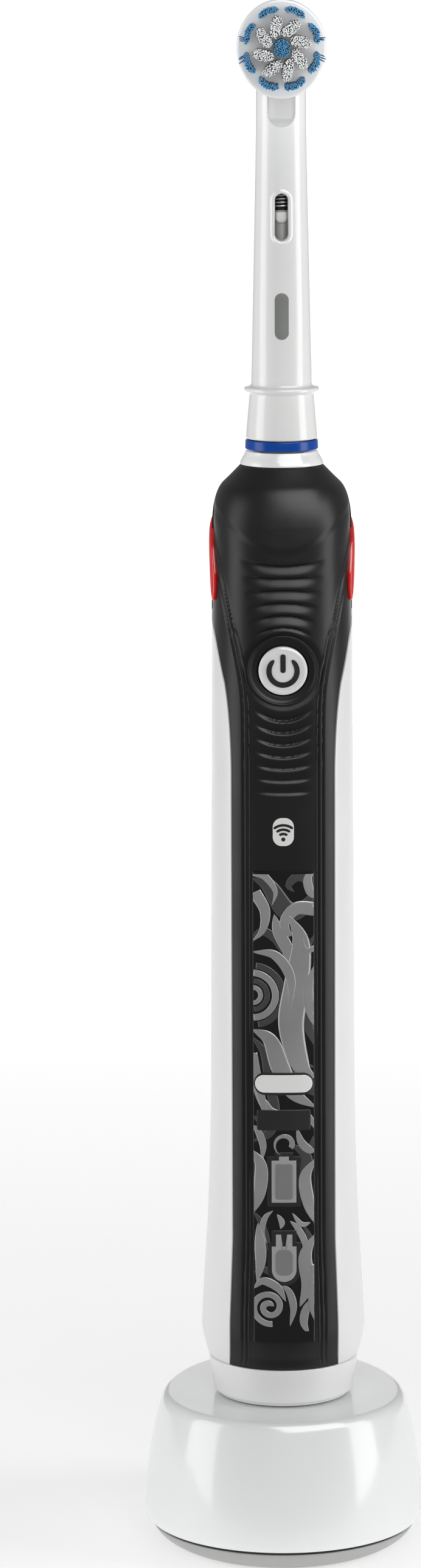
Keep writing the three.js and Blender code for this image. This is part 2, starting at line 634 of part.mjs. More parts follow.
function brushHead() {
  const group = new THREE.Group();
  const insert = lathe([[3.95, 0.3], [5, 0.3], [5, 6.6], [3.3, 6.6], [3.95, 0.3]]);
  const axle = forward(circle(0, DISC_H, AXLE_R), -2.7, 6.4, 4);
  group.add(
    piece("head_stem", headStem(), whiteGloss),
    piece("colour_ring", ring(5.15, 6.2, 0, 1.62), blueRing),
    piece("head_insert", insert, acetal),
    piece("drive_rod", driveRod(), acetal),
    piece("rod_spring", rodSpring(), steel),
    piece("disc_axle", axle, steel),
    piece("bristle_disc", bristleDisc(), whiteGloss),
    piece("centre_tuft", tuft(circle(0, DISC_H, 1.4)), blueBristle),
  );
  for (let i = 0; i < TUFTS; i++) {
    group.add(piece(`inner_tuft_${i + 1}`, innerTuft(i), whiteBristle));
    group.add(piece(`outer_tuft_${i + 1}`, outerTuft(i), blueBristle));
  }
  group.position.z = HEAD_FOOT;
  return group;
}

// ---------- assembly ----------
const toothbrush = new THREE.Group();
toothbrush.add(handle(), brushHead());
toothbrush.position.z = CHARGER_TOP + HANDLE_GAP;

const assembly = new THREE.Group();
assembly.add(charger(), toothbrush);
assembly.position.y = (CHARGER_R - GLAND_END) / 2;

export default assembly;
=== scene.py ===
"""An electric toothbrush on its induction charger: a round swinging brush on a slim white stem, a black grip
with a patterned strip over a white shell, and a low white charger."""

import math

import bmesh
import bpy
import numpy as np
from mathutils import Matrix, Vector


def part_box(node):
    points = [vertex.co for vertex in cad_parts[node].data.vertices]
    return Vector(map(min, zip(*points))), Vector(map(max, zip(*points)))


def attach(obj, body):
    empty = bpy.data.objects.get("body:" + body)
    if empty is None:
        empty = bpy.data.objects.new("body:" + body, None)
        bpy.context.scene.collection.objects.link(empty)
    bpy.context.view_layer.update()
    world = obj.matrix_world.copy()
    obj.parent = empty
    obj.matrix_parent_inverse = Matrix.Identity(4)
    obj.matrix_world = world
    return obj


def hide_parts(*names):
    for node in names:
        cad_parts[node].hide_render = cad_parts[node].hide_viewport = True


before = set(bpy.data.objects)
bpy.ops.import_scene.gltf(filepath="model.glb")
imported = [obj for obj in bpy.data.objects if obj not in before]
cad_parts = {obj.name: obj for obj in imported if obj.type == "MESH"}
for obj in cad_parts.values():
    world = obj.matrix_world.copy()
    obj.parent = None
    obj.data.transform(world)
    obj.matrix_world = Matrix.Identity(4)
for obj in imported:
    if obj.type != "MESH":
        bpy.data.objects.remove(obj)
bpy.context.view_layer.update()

# ---------------------------------------------------------------------------------------------------------
# Where the object stands. Every piece is drawn in millimetres about the handle's axis, with its height
# from the floor, and set down on that axis.
axis_y = sum(corner[1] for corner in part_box("drive_shaft")) / 2
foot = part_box("end_cap")[0][2] * 1000  # height of the handle's underside
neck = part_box("colour_ring")[0][2] * 1000  # height of the brush head's underside
disc_height = sum(corner[2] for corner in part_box("disc_axle")) / 2 * 1000

# ---------------------------------------------------------------------------------------------------------
# The studio: a pale sheet that runs along the floor and up behind, soft lamps, and the camera.

CAMERA_AWAY = 0.933
CAMERA_HEIGHT = 0.2964
CAMERA_LEFT = 0.0124
CAMERA_TILT = 9.81
CAMERA_ROLL = -0.236
SNOOT_AWAY = 0.92
SNOOT_CONE = 2.1  # degrees across
SNOOT_DIP = 2.1  # degrees below level
SHEET_HALF = 0.5
SHEET_FRONT = -0.06


def add_camera():
    """A long lens in front of the object, looking down on it a little."""
    camera = bpy.data.objects.new("camera", bpy.data.cameras.new("camera"))
    camera.data.lens = 125.8
    camera.data.sensor_width = 36
    camera.data.clip_end = 50
    tilt = Matrix.Rotation(math.radians(90 - CAMERA_TILT), 4, "X")
    roll = Matrix.Rotation(math.radians(CAMERA_ROLL), 4, "Z")
    place = Matrix.Translation((-CAMERA_LEFT, axis_y - CAMERA_AWAY, CAMERA_HEIGHT))
    camera.matrix_world = place @ tilt @ roll
    bpy.context.collection.objects.link(camera)
    bpy.context.scene.camera = camera


def add_lamp(name, place, target, size, power, mirrored=True, diffuse=True):
    """A rectangular lamp that looks at its target; one not mirrored has no highlight, and one
    without diffuse has nothing else."""
    lamp = bpy.data.lights.new(name, "AREA")
    lamp.shape = "RECTANGLE"
    lamp.size, lamp.size_y = size
    lamp.energy = power
    holder = bpy.data.objects.new(name, lamp)
    facing = (Vector(place) - Vector(target)).to_track_quat("Z", "Y")
    holder.matrix_world = Matrix.Translation(place) @ facing.to_matrix().to_4x4()
    holder.visible_glossy, holder.visible_diffuse = mirrored, diffuse
    bpy.context.collection.objects.link(holder)


def add_snoot():
    """A narrow cone of light on the brush alone, from beside the camera."""
    lamp = bpy.data.lights.new("brush_snoot", "SPOT")
    lamp.energy = 23
    lamp.spot_size = math.radians(SNOOT_CONE)
    lamp.spot_blend = 0.7
    lamp.shadow_soft_size = 0.02
    holder = bpy.data.objects.new("brush_snoot", lamp)
    tilt = Matrix.Rotation(math.radians(90 - SNOOT_DIP), 4, "X")
    holder.matrix_world = Matrix.Translation((0.01, axis_y - SNOOT_AWAY, 0.3)) @ tilt
    holder.visible_glossy = False
    bpy.context.collection.objects.link(holder)


def add_backdrop():
    """A narrow sheet: flat floor from just in front of the object, a quarter circle of 1.2 m, then a wall."""
    bend = np.linspace(0, math.pi / 2, 24)
    ys = np.concatenate([[SHEET_FRONT], 2.5 + 1.2 * np.sin(bend), [3.7]])
    zs = np.concatenate([[0], 1.2 - 1.2 * np.cos(bend), [5]])
    sides = [np.stack([np.full_like(ys, x), ys, zs], axis=1) for x in (-SHEET_HALF, SHEET_HALF)]
    rows = np.stack(sides, axis=1)
    count = len(ys)
    quads = [(2 * i, 2 * i + 1, 2 * i + 3, 2 * i + 2) for i in range(count - 1)]
    mesh = bpy.data.meshes.new("backdrop")
    mesh.from_pydata(rows.reshape(-1, 3).tolist(), [], quads)
    mesh.polygons.foreach_set("use_smooth", [True] * len(mesh.polygons))
    paper = bpy.data.materials.new("backdrop_paper")
    paper.use_nodes = True
    shader = paper.node_tree.nodes["Principled BSDF"]
    shader.inputs["Base Color"].default_value = (0.86, 0.86, 0.86, 1)
    shader.inputs["Roughness"].default_value = 0.9
    shader.inputs["Emission Color"].default_value = (1, 1, 1, 1)
    shader.inputs["Emission Strength"].default_value = 0.4
    mesh.materials.append(paper)
    sheet = bpy.data.objects.new("backdrop", mesh)
    bpy.context.collection.objects.link(sheet)


def add_world():
    """Even light from all round."""
    world = bpy.data.worlds.new("studio")
    world.use_nodes = True
    world.node_tree.nodes["Background"].inputs["Color"].default_value = (1, 1, 1, 1)
    world.node_tree.nodes["Background"].inputs["Strength"].default_value = 0.3
    bpy.context.scene.world = world


add_camera()
add_backdrop()
add_world()
bpy.context.scene.view_settings.view_transform = "Standard"
add_lamp("softbox_left", (-0.88, -0.2, 0.1), (0, 0, 0.1), (0.5, 1.2), 5.5)
add_lamp("softbox_right", (0.87, -0.24, 0.1), (0, 0, 0.1), (0.42, 1.2), 6.1)
add_lamp("front_fill", (0.06, -1.0, 0.42), (0, 0, 0.23), (0.7, 0.7), 2.4, mirrored=False)
add_snoot()
add_lamp("shoulder_sheen", (0.3, -0.5, 0.7), (0, 0, 0.19), (0.9, 0.7), 10, diffuse=False)
add_lamp("backdrop_wash", (0.0, 0.9, 1.3), (0, 3.0, 0), (3.0, 1.0), 34)

# ---------------------------------------------------------------------------------------------------------
# The charger's housing: glossy white, moulded in one with the post that reaches into the handle. Seen from
# above it is egg-shaped, longer behind the post than in front of it.


def outline(start, *moves, steps=10):
    """Points from `start`: a move of two numbers is a line, and one of four a quadratic curve, as the point
    it bends towards and the point it ends at."""
    points = [np.array([start], float)]
    share = np.linspace(0, 1, steps + 1)[1:, None]
    for move in moves:
        last = points[-1][-1]
        move = np.array(move, float)
        if len(move) == 2:
            points.append(move[None])
        else:
            bend, end = move[:2], move[2:]
            points.append((1 - share) ** 2 * last + 2 * share * (1 - share) * bend + share ** 2 * end)
    return np.concatenate(points)


def turned(profile, sides=96, stretch_back=1.0):
    """Rows of points: each [radius, height] of the profile goes round the axis, and what lies behind the
    axis is stretched."""
    angle = np.linspace(0, 2 * math.pi, sides, endpoint=False)
    radius, height = profile[:, 0, None], profile[:, 1, None]
    x = radius * np.sin(angle)
    y = -radius * np.cos(angle)
    y = np.where(y > 0, y * stretch_back, y)
    return np.stack([x, y, np.broadcast_to(height, x.shape)], axis=-1)


def grid_faces(rows, columns, first=0, closed=True):
    """Quads between neighbours of a grid whose points are numbered row by row. If it is closed, the last
    column joins the first."""
    i = np.arange(rows - 1)[:, None]
    j = np.arange(columns if closed else columns - 1)[None]
    low, high = i * columns, (i + 1) * columns
    near, far = j, (j + 1) % columns
    return first + np.stack([low + near, low + far, high + far, high + near], axis=-1).reshape(-1, 4)


def piece(name, grids, material, body, replaces=(), sharp=35, weld=1e-7, turn_out=True,
          closed=True):
    """A smooth mesh made of grids of points in millimetres, each closed or each open. Points that meet are
    made one, so poles and joins close."""
    points, faces, first = [], [], 0
    for grid in grids:
        rows, columns = grid.shape[:2]
        points.append(grid.reshape(-1, 3))
        faces.append(grid_faces(rows, columns, first, closed))
        first += rows * columns
    mesh = bpy.data.meshes.new(name)
    place = np.concatenate(points) * 0.001 + np.array([0, axis_y, 0])
    mesh.from_pydata(place.tolist(), [], np.concatenate(faces).tolist())
    return finished(name, mesh, material, body, replaces, sharp, weld, turn_out)


def finished(name, mesh, material, body, replaces=(), sharp=35, weld=1e-7, turn_out=True):
    """Welds a mesh, turns its faces out, smooths it but for its sharp edges, and rides it on its body."""
    if weld or turn_out:
        work = bmesh.new()
        work.from_mesh(mesh)
        if weld:
            bmesh.ops.remove_doubles(work, verts=work.verts, dist=weld)
            bmesh.ops.dissolve_degenerate(work, edges=work.edges, dist=1e-8)
        if turn_out:
            bmesh.ops.recalc_face_normals(work, faces=work.faces)
        work.to_mesh(mesh)
        work.free()
    mesh.polygons.foreach_set("use_smooth", [True] * len(mesh.polygons))
    mesh.set_sharp_from_angle(angle=math.radians(sharp))
    mesh.materials.append(material)
    made = bpy.data.objects.new(name, mesh)
    bpy.context.collection.objects.link(made)
    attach(made, body)
    if replaces:
        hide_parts(*replaces)
    return made


def finish(name, colour, roughness, mottle=0.04, patch=90, grain=2600, lift=0.00002, spread=0.06,
           stretch=(1, 1, 1), **sockets):
    """A moulded or drawn surface. A broad noise, `patch` per metre, makes the colour wander by `mottle` and
    the roughness by `spread`. A fine one, `grain` per metre, raises the surface by `lift` metres."""
    material = bpy.data.materials.new(name)
    material.use_nodes = True
    nodes, links = material.node_tree.nodes, material.node_tree.links
    shader = nodes["Principled BSDF"]
    place = nodes.new("ShaderNodeTexCoord")
    turn = nodes.new("ShaderNodeMapping")
    turn.inputs["Scale"].default_value = stretch
    broad = nodes.new("ShaderNodeTexNoise")
    broad.inputs["Scale"].default_value = patch
    broad.inputs["Detail"].default_value = 4
    fine = nodes.new("ShaderNodeTexNoise")
    fine.inputs["Scale"].default_value = grain
    fine.inputs["Detail"].default_value = 3
    tint = nodes.new("ShaderNodeMix")
    tint.data_type = "RGBA"
    tint.inputs["A"].default_value = (*(c * (1 - mottle) for c in colour), 1)
    tint.inputs["B"].default_value = (*(min(1, c * (1 + mottle)) for c in colour), 1)
    polish = nodes.new("ShaderNodeMapRange")
    polish.inputs["From Min"].default_value = 0.3
    polish.inputs["From Max"].default_value = 0.7
    polish.inputs["To Min"].default_value = max(0.02, roughness - spread)
    polish.inputs["To Max"].default_value = min(1, roughness + spread)
    bump = nodes.new("ShaderNodeBump")
    bump.inputs["Strength"].default_value = 0.5
    bump.inputs["Distance"].default_value = lift
    links.new(place.outputs["Object"], turn.inputs["Vector"])
    links.new(turn.outputs["Vector"], broad.inputs["Vector"])
    links.new(turn.outputs["Vector"], fine.inputs["Vector"])
    links.new(broad.outputs["Fac"], tint.inputs["Factor"])
    links.new(tint.outputs["Result"], shader.inputs["Base Color"])
    links.new(broad.outputs["Fac"], polish.inputs["Value"])
    links.new(polish.outputs["Result"], shader.inputs["Roughness"])
    links.new(fine.outputs["Fac"], bump.inputs["Height"])
    links.new(bump.outputs["Normal"], shader.inputs["Normal"])
    for socket, value in sockets.items():
        shader.inputs[socket.replace("_", " ")].default_value = value
    return material


CHARGER_HALF = 24.33  # half its width, and its reach forward of the post
CHARGER_BACK = 1.29  # how much longer it is behind
CHARGER_TOP = foot - 0.3
SEAM = 4.2

gloss_white = finish("charger_gloss_white", (0.84, 0.85, 0.85), 0.2, mottle=0.02, patch=40, grain=1200,
                     lift=0.000006, spread=0.04, Coat_Weight=0.4, Coat_Roughness=0.08)

charger_side = outline((0, SEAM + 0.1), (CHARGER_HALF - 0.95, SEAM + 0.1),
                       (CHARGER_HALF - 0.6, SEAM + 0.1, CHARGER_HALF - 0.3, 4.9),
                       (CHARGER_HALF, 5.4, CHARGER_HALF, 6.6),
                       (24.3, 15.2, 21.75, 24.6), (21.25, CHARGER_TOP - 0.05, 19.9, CHARGER_TOP),
                       (4.6, CHARGER_TOP))
post = outline((4.6, CHARGER_TOP), (3.62, CHARGER_TOP, 3.6, CHARGER_TOP + 0.9), (3.55, 38.6),
               (3.5, 39.95, 2.4, 39.98), (0, 40), steps=8)
piece("charger_case", [turned(charger_side, 144, CHARGER_BACK), turned(post, 144)], gloss_white, "charger",
      ["charger_housing"])

# ---------------------------------------------------------------------------------------------------------
# The base plate: satin white, painted a mid grey as the shade it sits in under the housing, drawn in towards
# the floor, clipped up into the housing over a thin black gasket that shows as a dark line all round.

# Painted shade: the base's white is darkened to 0.4 for the shade under the housing.
base_painted_shade_grey = finish("base_satin_painted_shade", (0.4, 0.4, 0.395), 0.42, grain=3000, lift=0.00002)
seam_black = finish("seam_rubber", (0.012, 0.012, 0.013), 0.7, mottle=0.2, grain=3500, lift=0.00003)

base_side = outline((0, 0), (17.6, 0), (18.2, 0, 18.7, 0.15), (22.0, 1.35, CHARGER_HALF - 1.25, SEAM - 0.72),
                    (CHARGER_HALF - 1.2, SEAM - 0.47, CHARGER_HALF - 1.55, SEAM - 0.45), (0, SEAM - 0.45))
piece("charger_base", [turned(base_side, 144, CHARGER_BACK)], base_painted_shade_grey, "charger", ["charger_base_plate"])
gasket = outline((20, SEAM - 0.46), (22.8, SEAM - 0.46), (22.8, SEAM + 0.2), (20, SEAM + 0.2),
                 (20, SEAM - 0.46))
piece("charger_gasket", [turned(gasket, 144, CHARGER_BACK)], seam_black, "charger", ["charger_seam_gasket"])

# ---------------------------------------------------------------------------------------------------------
# The gland at the back, a short ribbed rubber tube that a cord would leave by.

GLAND_HEIGHT = sum(corner[2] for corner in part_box("cord_gland")) / 2 * 1000
GLAND_END = (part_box("cord_gland")[1][1] - axis_y) * 1000


def lie_back(rows, height):
    """Rows turned about Z, laid down so that their height runs backwards."""
    return np.stack([rows[..., 0], rows[..., 2], height + rows[..., 1]], axis=-1)


def ribbed_gland():
    """Seven rings along the tube, and the mouth and bore that the cord would run through."""
    along = np.linspace(GLAND_END - 7, GLAND_END - 0.3, 40)
    radius = 2.85 - 0.18 * np.cos(2 * math.pi * (along - GLAND_END) / 0.8).clip(0, 1)
    shell = np.stack([radius, along], axis=1)
    mouth = outline((2.6, GLAND_END - 0.3), (2.55, GLAND_END, 2.2, GLAND_END),
                    (1.7, GLAND_END, 1.65, GLAND_END - 0.4), (1.6, GLAND_END - 7), (2.85, GLAND_END - 7))
    return lie_back(turned(np.concatenate([shell, mouth]), 40), GLAND_HEIGHT)


gland_rubber = finish("gland_rubber", (0.045, 0.045, 0.05), 0.62, mottle=0.15, grain=3000, lift=0.00004)
piece("rear_gland", [ribbed_gland()], gland_rubber, "charger", ["cord_gland"])

# ---------------------------------------------------------------------------------------------------------
# The end cap closes the handle's foot and holds the pocket that stands over the post. It is satin white,
# with a fine step where it meets the charger.

shell_white = finish("shell_satin_white", (0.78, 0.78, 0.78), 0.36, mottle=0.02, grain=2200, lift=0.000018,
                     Coat_Weight=0.15, Coat_Roughness=0.25)

cap_side = outline((4.2, 14.6), (4.2, 0.5), (4.25, 0.05, 4.7, 0), (11.1, 0), (11.5, 0, 11.55, 0.3),
                   (11.6, 0.55), (11.95, 0.5, 12.2, 0.75), (12.3, 1.0, 12.33, 1.4), (13.02, 6.5),
                   (13.05, 6.8, 12.75, 6.85), (10.5, 6.85), (10.5, 11.6), (8.9, 11.6), (8.9, 2), (5.2, 2),
                   (5.2, 16), (0, 16), (0, 14.6), (4.2, 14.6))
piece("foot_cap", [turned(cap_side + [0, foot], 120)], shell_white, "handle", ["end_cap"],
      sharp=40)

# ---------------------------------------------------------------------------------------------------------
# The handle's body. Its half width changes with height, its back is round, and its front is deeper and
# squarer. The white shell and the black cover both lie on this surface.

body_side = outline((13.05, 6.95), (13.95, 9.2, 14.28, 12.3), (14.1, 17, 13.35, 28.8), (12.65, 41, 12.5, 58),
                    (12.33, 95), (12.1, 133), (11.95, 154), (11.75, 158.8, 10.1, 160.6),
                    (8.9, 161.7, 7.1, 163.6), steps=24)
COVER_HALF = 8.85  # half the width of the black strip down the front
COVER_FLARE = 112  # height at which it begins to widen
SHOULDER = 139.2  # height at which it reaches the sides
TONGUE = 117  # lowest point of its tongue behind


def smooth(value, low, high):
    """From 0 at `low` to 1 at `high`, level at both ends."""
    share = np.clip((value - low) / (high - low), 0, 1)
    return share * share * (3 - 2 * share)


def body_radius(h):
    """The body's half width at a height."""
    return np.interp(h, body_side[:, 1], body_side[:, 0])


def front_form(h):
    """The front's depth over the half width, and the power that squares its section."""
    fade = smooth(h, 7, 30) * (1 - smooth(h, 150, 163))
    return 1 + 0.04 * fade, 2 / (2 + 0.5 * fade)


def on_body(angle, h, lift=0.0):
    """Points of the body at an angle from the front and a height from the foot: a superellipse in front of
    the axis and a circle behind it."""
    depth, power = front_form(h)
    ahead = np.cos(angle) > 0
    radius = body_radius(h) + lift
    across = np.sign(np.sin(angle)) * radius * np.abs(np.sin(angle)) ** np.where(ahead, power, 1)
    along = -np.sign(np.cos(angle)) * radius * np.abs(np.cos(angle)) ** np.where(ahead, power, 1)
    return np.stack([across, along * np.where(ahead, depth, 1), foot + h + 0 * across], axis=-1)


def angle_of(x, h, behind=False):
    """The angle at which the body is x wide."""
    _, power = front_form(h)
    share = np.clip(np.abs(x) / body_radius(h), 0, 1)
    return np.arcsin(share ** (1 if behind else 1 / power))


def foot_swell(h):
    """How much wider the strip is where the body swells at its foot."""
    return 0.55 * np.clip((30 - h) / 15, 0, 1)


def cover_half(h):
    """Half the width of the strip: even, then flaring in two bends out to the sides."""
    side = outline((COVER_HALF, COVER_FLARE), (8.95, 121, 9.95, 127), (11.2, 132, 12.3, SHOULDER), steps=24)
    return np.interp(h, side[:, 1], side[:, 0]) + foot_swell(h)


def tongue_half(h):
    """Half the width of the tongue behind, from its tip up to the shoulder."""
    rise = np.clip(h - TONGUE, 0, None)
    share = (-6 + np.sqrt(36 + 64.8 * rise)) / 32.4
    return 18 * share * (1 - share) + 12.15 * share ** 2


def closed_shell(name, grids, thickness, material, body, replaces, edge=0.12):
    """A skin of that thickness under the given surfaces, with its edges rounded over."""
    made = piece(name, grids, material, body, replaces, weld=2e-6, closed=False)
    skin = made.modifiers.new("thickness", "SOLIDIFY")
    skin.thickness = thickness / 1000
    skin.offset = -1
    skin.use_even_offset = False
    rounding = made.modifiers.new("edge", "BEVEL")
    rounding.width = edge / 1000
    rounding.segments = 2
    rounding.limit_method = "ANGLE"
    rounding.angle_limit = math.radians(60)
    rounding.use_clamp_overlap = True
    return made


# ---------------------------------------------------------------------------------------------------------
# The white shell: two sides that meet behind, with the black tongue let in between them higher up.

SEAM_GAP = 0.1


def shell_half(side):
    """Rows from the foot to the shoulder, each from the cover's edge in front round to the middle behind, or
    to the tongue's edge."""
    h = np.concatenate([np.linspace(6.98, 12.3, 14), np.linspace(13.5, SHOULDER - 0.7, 120)])[:, None]
    begin = angle_of(cover_half(h) + SEAM_GAP, h)
    end = math.pi - angle_of(np.where(h > TONGUE, tongue_half(h) + SEAM_GAP, 0), h, behind=True)
    share = np.linspace(0, 1, 64)[None]
    angle = begin + (np.maximum(end, begin + 0.004) - begin) * share
    return on_body(side * angle, np.broadcast_to(h, angle.shape))


closed_shell("white_shell", [shell_half(1), shell_half(-1)], 1.4, shell_white, "handle", ["handle_shell"])

# ---------------------------------------------------------------------------------------------------------
# The black cover, a soft grip moulded over the shell. A sunk field runs down its front between two grooves
# that open out over the shoulders. Thumb ribs cross the field above and below the button.

FIELD_HALF = 6.15
FIELD_SUNK = 0.22
BUTTON_HEIGHT = 129.65
BUTTON_HOLE = 5.7
RIBS_ABOVE = 6
RIBS_BELOW = 7


def groove_at(h):
    """Half the distance between the grooves: even, then opening out by 0.24 mm per mm."""
    return FIELD_HALF + 0.48 * np.logaddexp(0, (h - 126.5) / 2) + 0.7 * foot_swell(h)


def ribs(x, h):
    """Ledges: a sharp fall on one side and a long slope on the other, each along a parabola."""
    depth = np.zeros_like(h)
    for i in range(RIBS_ABOVE):
        share = i / (RIBS_ABOVE - 1)
        off = h - (147.4 - 2.12 * i) - (0.02 - 0.066 * share) * x ** 2
        fall = np.exp(-(off / np.where(off > 0, 0.28, 0.95)) ** 2)
        depth += 0.55 * fall * (1 - smooth(np.abs(x), 3.0 - share, 7.8 - 2.2 * share))
    for i in range(RIBS_BELOW):
        share = i / (RIBS_BELOW - 1)
        off = h - (121 - 2.08 * i) - (0.07 - 0.062 * share) * x ** 2
        fall = np.exp(-(off / np.where(off < 0, 0.28, 1.0)) ** 2)
        depth += (0.55 - 0.3 * share) * fall * (1 - smooth(np.abs(x), 2.2, 5.6))
    return depth


def cover_depth(x, h):
    """How far the front of the cover lies under the plain body."""
    groove = groove_at(h)
    reach = np.abs(x)
    low_end = smooth(h, 7, 9)
    field = FIELD_SUNK * (1 - smooth(reach, groove - 0.5, groove + 0.05))
    lines = (0.26 * np.exp(-((reach - groove) / 0.17) ** 2)
             + 0.2 * np.exp(-((reach - groove - 0.75) / 0.17) ** 2))
    lines = lines * (1 - smooth(h, 143, 152))
    brow = 150.5 + 0.052 * x ** 2
    field = field * (1 - smooth(h, brow - 9, brow)) + 0.16 * (1 - smooth(h, brow - 1.4, brow + 0.3))
    ring = np.hypot(x, h - BUTTON_HEIGHT)
    dish = 0.3 * (1 - smooth(ring, 5.9, 7.4)) + 0.9 * (1 - smooth(ring, BUTTON_HOLE - 0.35, BUTTON_HOLE))
    return low_end * (field + lines) + ribs(x, h) * smooth(ring, 6.6, 7.6) + dish


def cover_front():
    """Rows from the foot to the neck and columns from edge to edge, sunk by cover_depth."""
    h = np.concatenate([np.linspace(6.98, 12.3, 12), np.linspace(14, 106, 56), np.arange(107, 154.5, 0.16),
                        np.linspace(154.6, 163.6, 30)])[:, None]
    edge = np.where(h < SHOULDER, angle_of(cover_half(h), h), math.pi / 2)
    angle = edge * np.linspace(-1, 1, 129)[None]
    h = np.broadcast_to(h, angle.shape)
    plain = on_body(angle, h)
    return on_body(angle, h, -cover_depth(plain[..., 0], h)), h[:, 0]


def cover_back(rows):
    """The tongue and the back of the shoulders, on the front's own rows from the tongue's tip upwards."""
    h = rows[rows > TONGUE][:, None]
    edge = np.where(h < SHOULDER, angle_of(tongue_half(h), h, behind=True), math.pi / 2)
    angle = math.pi + edge * np.linspace(-1, 1, 65)[None]
    return on_body(angle, np.broadcast_to(h, angle.shape))


grip_black = finish("soft_grip_black", (0.007, 0.007, 0.0073), 0.38, mottle=0.12, patch=60, grain=4200,
                    lift=0.000022, spread=0.05, Specular_IOR_Level=0.3)
front_rows, front_heights = cover_front()
closed_shell("black_grip", [front_rows, cover_back(front_heights)], 0.85, grip_black, "handle",
             ["soft_grip_cover"])

# ---------------------------------------------------------------------------------------------------------
# The patterned strip: a glossy black film let into the field, printed with curling bands in two greys. The
# bands are a plain design of spirals, waves and leaves, each a ribbon of changing width laid on the strip.

STRIP_LOW, STRIP_HIGH = 12.2, 95.0
STRIP_HALF = 5.3
STRIP_LIFT = 0.07  # over the sunk field


def on_front(x, h, lift):
    """Points of the front at a width and a height, lifted off the sunk field."""
    depth, power = front_form(h)
    radius = body_radius(h) + lift - FIELD_SUNK
    share = np.clip(np.abs(x) / radius, 0, 0.999)
    along = -depth * radius * (1 - share ** (2 / power)) ** (power / 2)
    return np.stack([x, along, foot + h + 0 * x], axis=-1)


def rounded_rectangle(width, height, radius, points=9):
    """Points round a rectangle with round corners, and its middle at zero."""
    corner = np.linspace(0, math.pi / 2, points)
    turn = (corner + np.arange(4)[:, None] * math.pi / 2).ravel()
    sign_x = np.repeat([1, -1, -1, 1], points)
    sign_y = np.repeat([1, 1, -1, -1], points)
    return np.stack([sign_x * (width / 2 - radius) + radius * np.cos(turn),
                     sign_y * (height / 2 - radius) + radius * np.sin(turn)], axis=-1)


def filled_edges(shape, spacing=0.3):
    """The outline with points added along its straight sides."""
    following = np.roll(shape, -1, axis=0)
    parts = []
    for here, there in zip(shape, following):
        count = max(1, int(np.linalg.norm(there - here) / spacing))
        share = np.arange(count)[:, None] / count
        parts.append(here + (there - here) * share)
    return np.concatenate(parts)


def plate(outline_points, centre, top, under, edge=0.08, rings=14):
    """A thin plate on the front with that outline: its underside, a rounded edge, and a top filled with
    smaller and smaller copies of the outline about the centre."""
    middle = np.array(centre)
    shape = np.asarray(outline_points, float)
    size = np.abs(shape - middle).max()
    steps = [(0, under), (1, under), (1, top - edge), (1 - 0.3 * edge / size, top - 0.3 * edge),
             (1 - edge / size, top)]
    steps += [(share, top) for share in np.linspace(1 - edge / size, 0, rings)[1:]]
    rows = [on_front(*(middle + (shape - middle) * share).T, lift) for share, lift in steps]
    return np.stack(rows)


film_black = finish("strip_gloss_black", (0.004, 0.004, 0.0045), 0.14, mottle=0.2, patch=50, grain=1500,
                    lift=0.000004, spread=0.03, Specular_IOR_Level=0.4)


def strip_rows():
    """The film as one grid from its foot to its top, its edges turned down."""
    inner = np.linspace(STRIP_LOW + 0.12, STRIP_HIGH - 0.12, 136)
    h = np.array([STRIP_LOW, STRIP_LOW + 0.06, *inner, STRIP_HIGH - 0.06, STRIP_HIGH])[:, None]
    x = STRIP_HALF * np.array([0.9, 1, 1, *np.linspace(0.985, -0.985, 33), -1, -1, -0.9])[None]
    lift = np.array([-0.4, -0.4, 0.02, *np.full(33, STRIP_LIFT), 0.02, -0.4, -0.4])[None]
    edge = smooth(h, STRIP_LOW, STRIP_LOW + 0.06) * (1 - smooth(h, STRIP_HIGH - 0.06, STRIP_HIGH))
    return on_front(np.broadcast_to(x, (140, 39)), np.broadcast_to(h, (140, 39)), -0.4 + (lift + 0.4) * edge)


piece("patterned_strip", [strip_rows()], film_black, "handle", ["decor_panel"], sharp=50)


def printed_grey(name, low, high):
    """A satin metallic ink whose tone drifts along the strip, with the fine sparkle of its flakes."""
    tone = sum(low) / 3
    return finish(name, [(a + b) / 2 for a, b in zip(low, high)], 0.34,
                  mottle=(high[0] - tone) / (high[0] + tone),
                  patch=55, grain=5200, lift=0.00001, spread=0.05, Metallic=0.35)


ink_light = printed_grey("ink_light_grey", (0.2, 0.2, 0.2), (0.4, 0.4, 0.4))
ink_dark = printed_grey("ink_dark_grey", (0.045, 0.045, 0.046), (0.08, 0.08, 0.08))


def bent(start, *bends, steps=16):
    """A smooth path through points: a Catmull-Rom curve, by the cubic blend of each four neighbours."""
    knots = np.array([start, *bends], float)
    knots = np.concatenate([[2 * knots[0] - knots[1]], knots, [2 * knots[-1] - knots[-2]]])
    t = np.linspace(0, 1, steps, endpoint=False)[:, None]
    spans = [0.5 * (2 * b + (c - a) * t + (2 * a - 5 * b + 4 * c - d) * t ** 2
                    + (3 * b - a - 3 * c + d) * t ** 3)
             for a, b, c, d in zip(knots, knots[1:], knots[2:], knots[3:])]
    return np.concatenate([*spans, knots[-2:-1]])


def ring_path(x, h, radius, begin, end, grow=0.0, steps=60):
    """A path round a centre from one angle to another, in degrees, its radius growing evenly if asked."""
    angle = np.radians(np.linspace(begin, end, steps))
    reach = radius + grow * np.linspace(0, 1, steps)
    return np.stack([x + reach * np.cos(angle), h + reach * np.sin(angle)], axis=1)


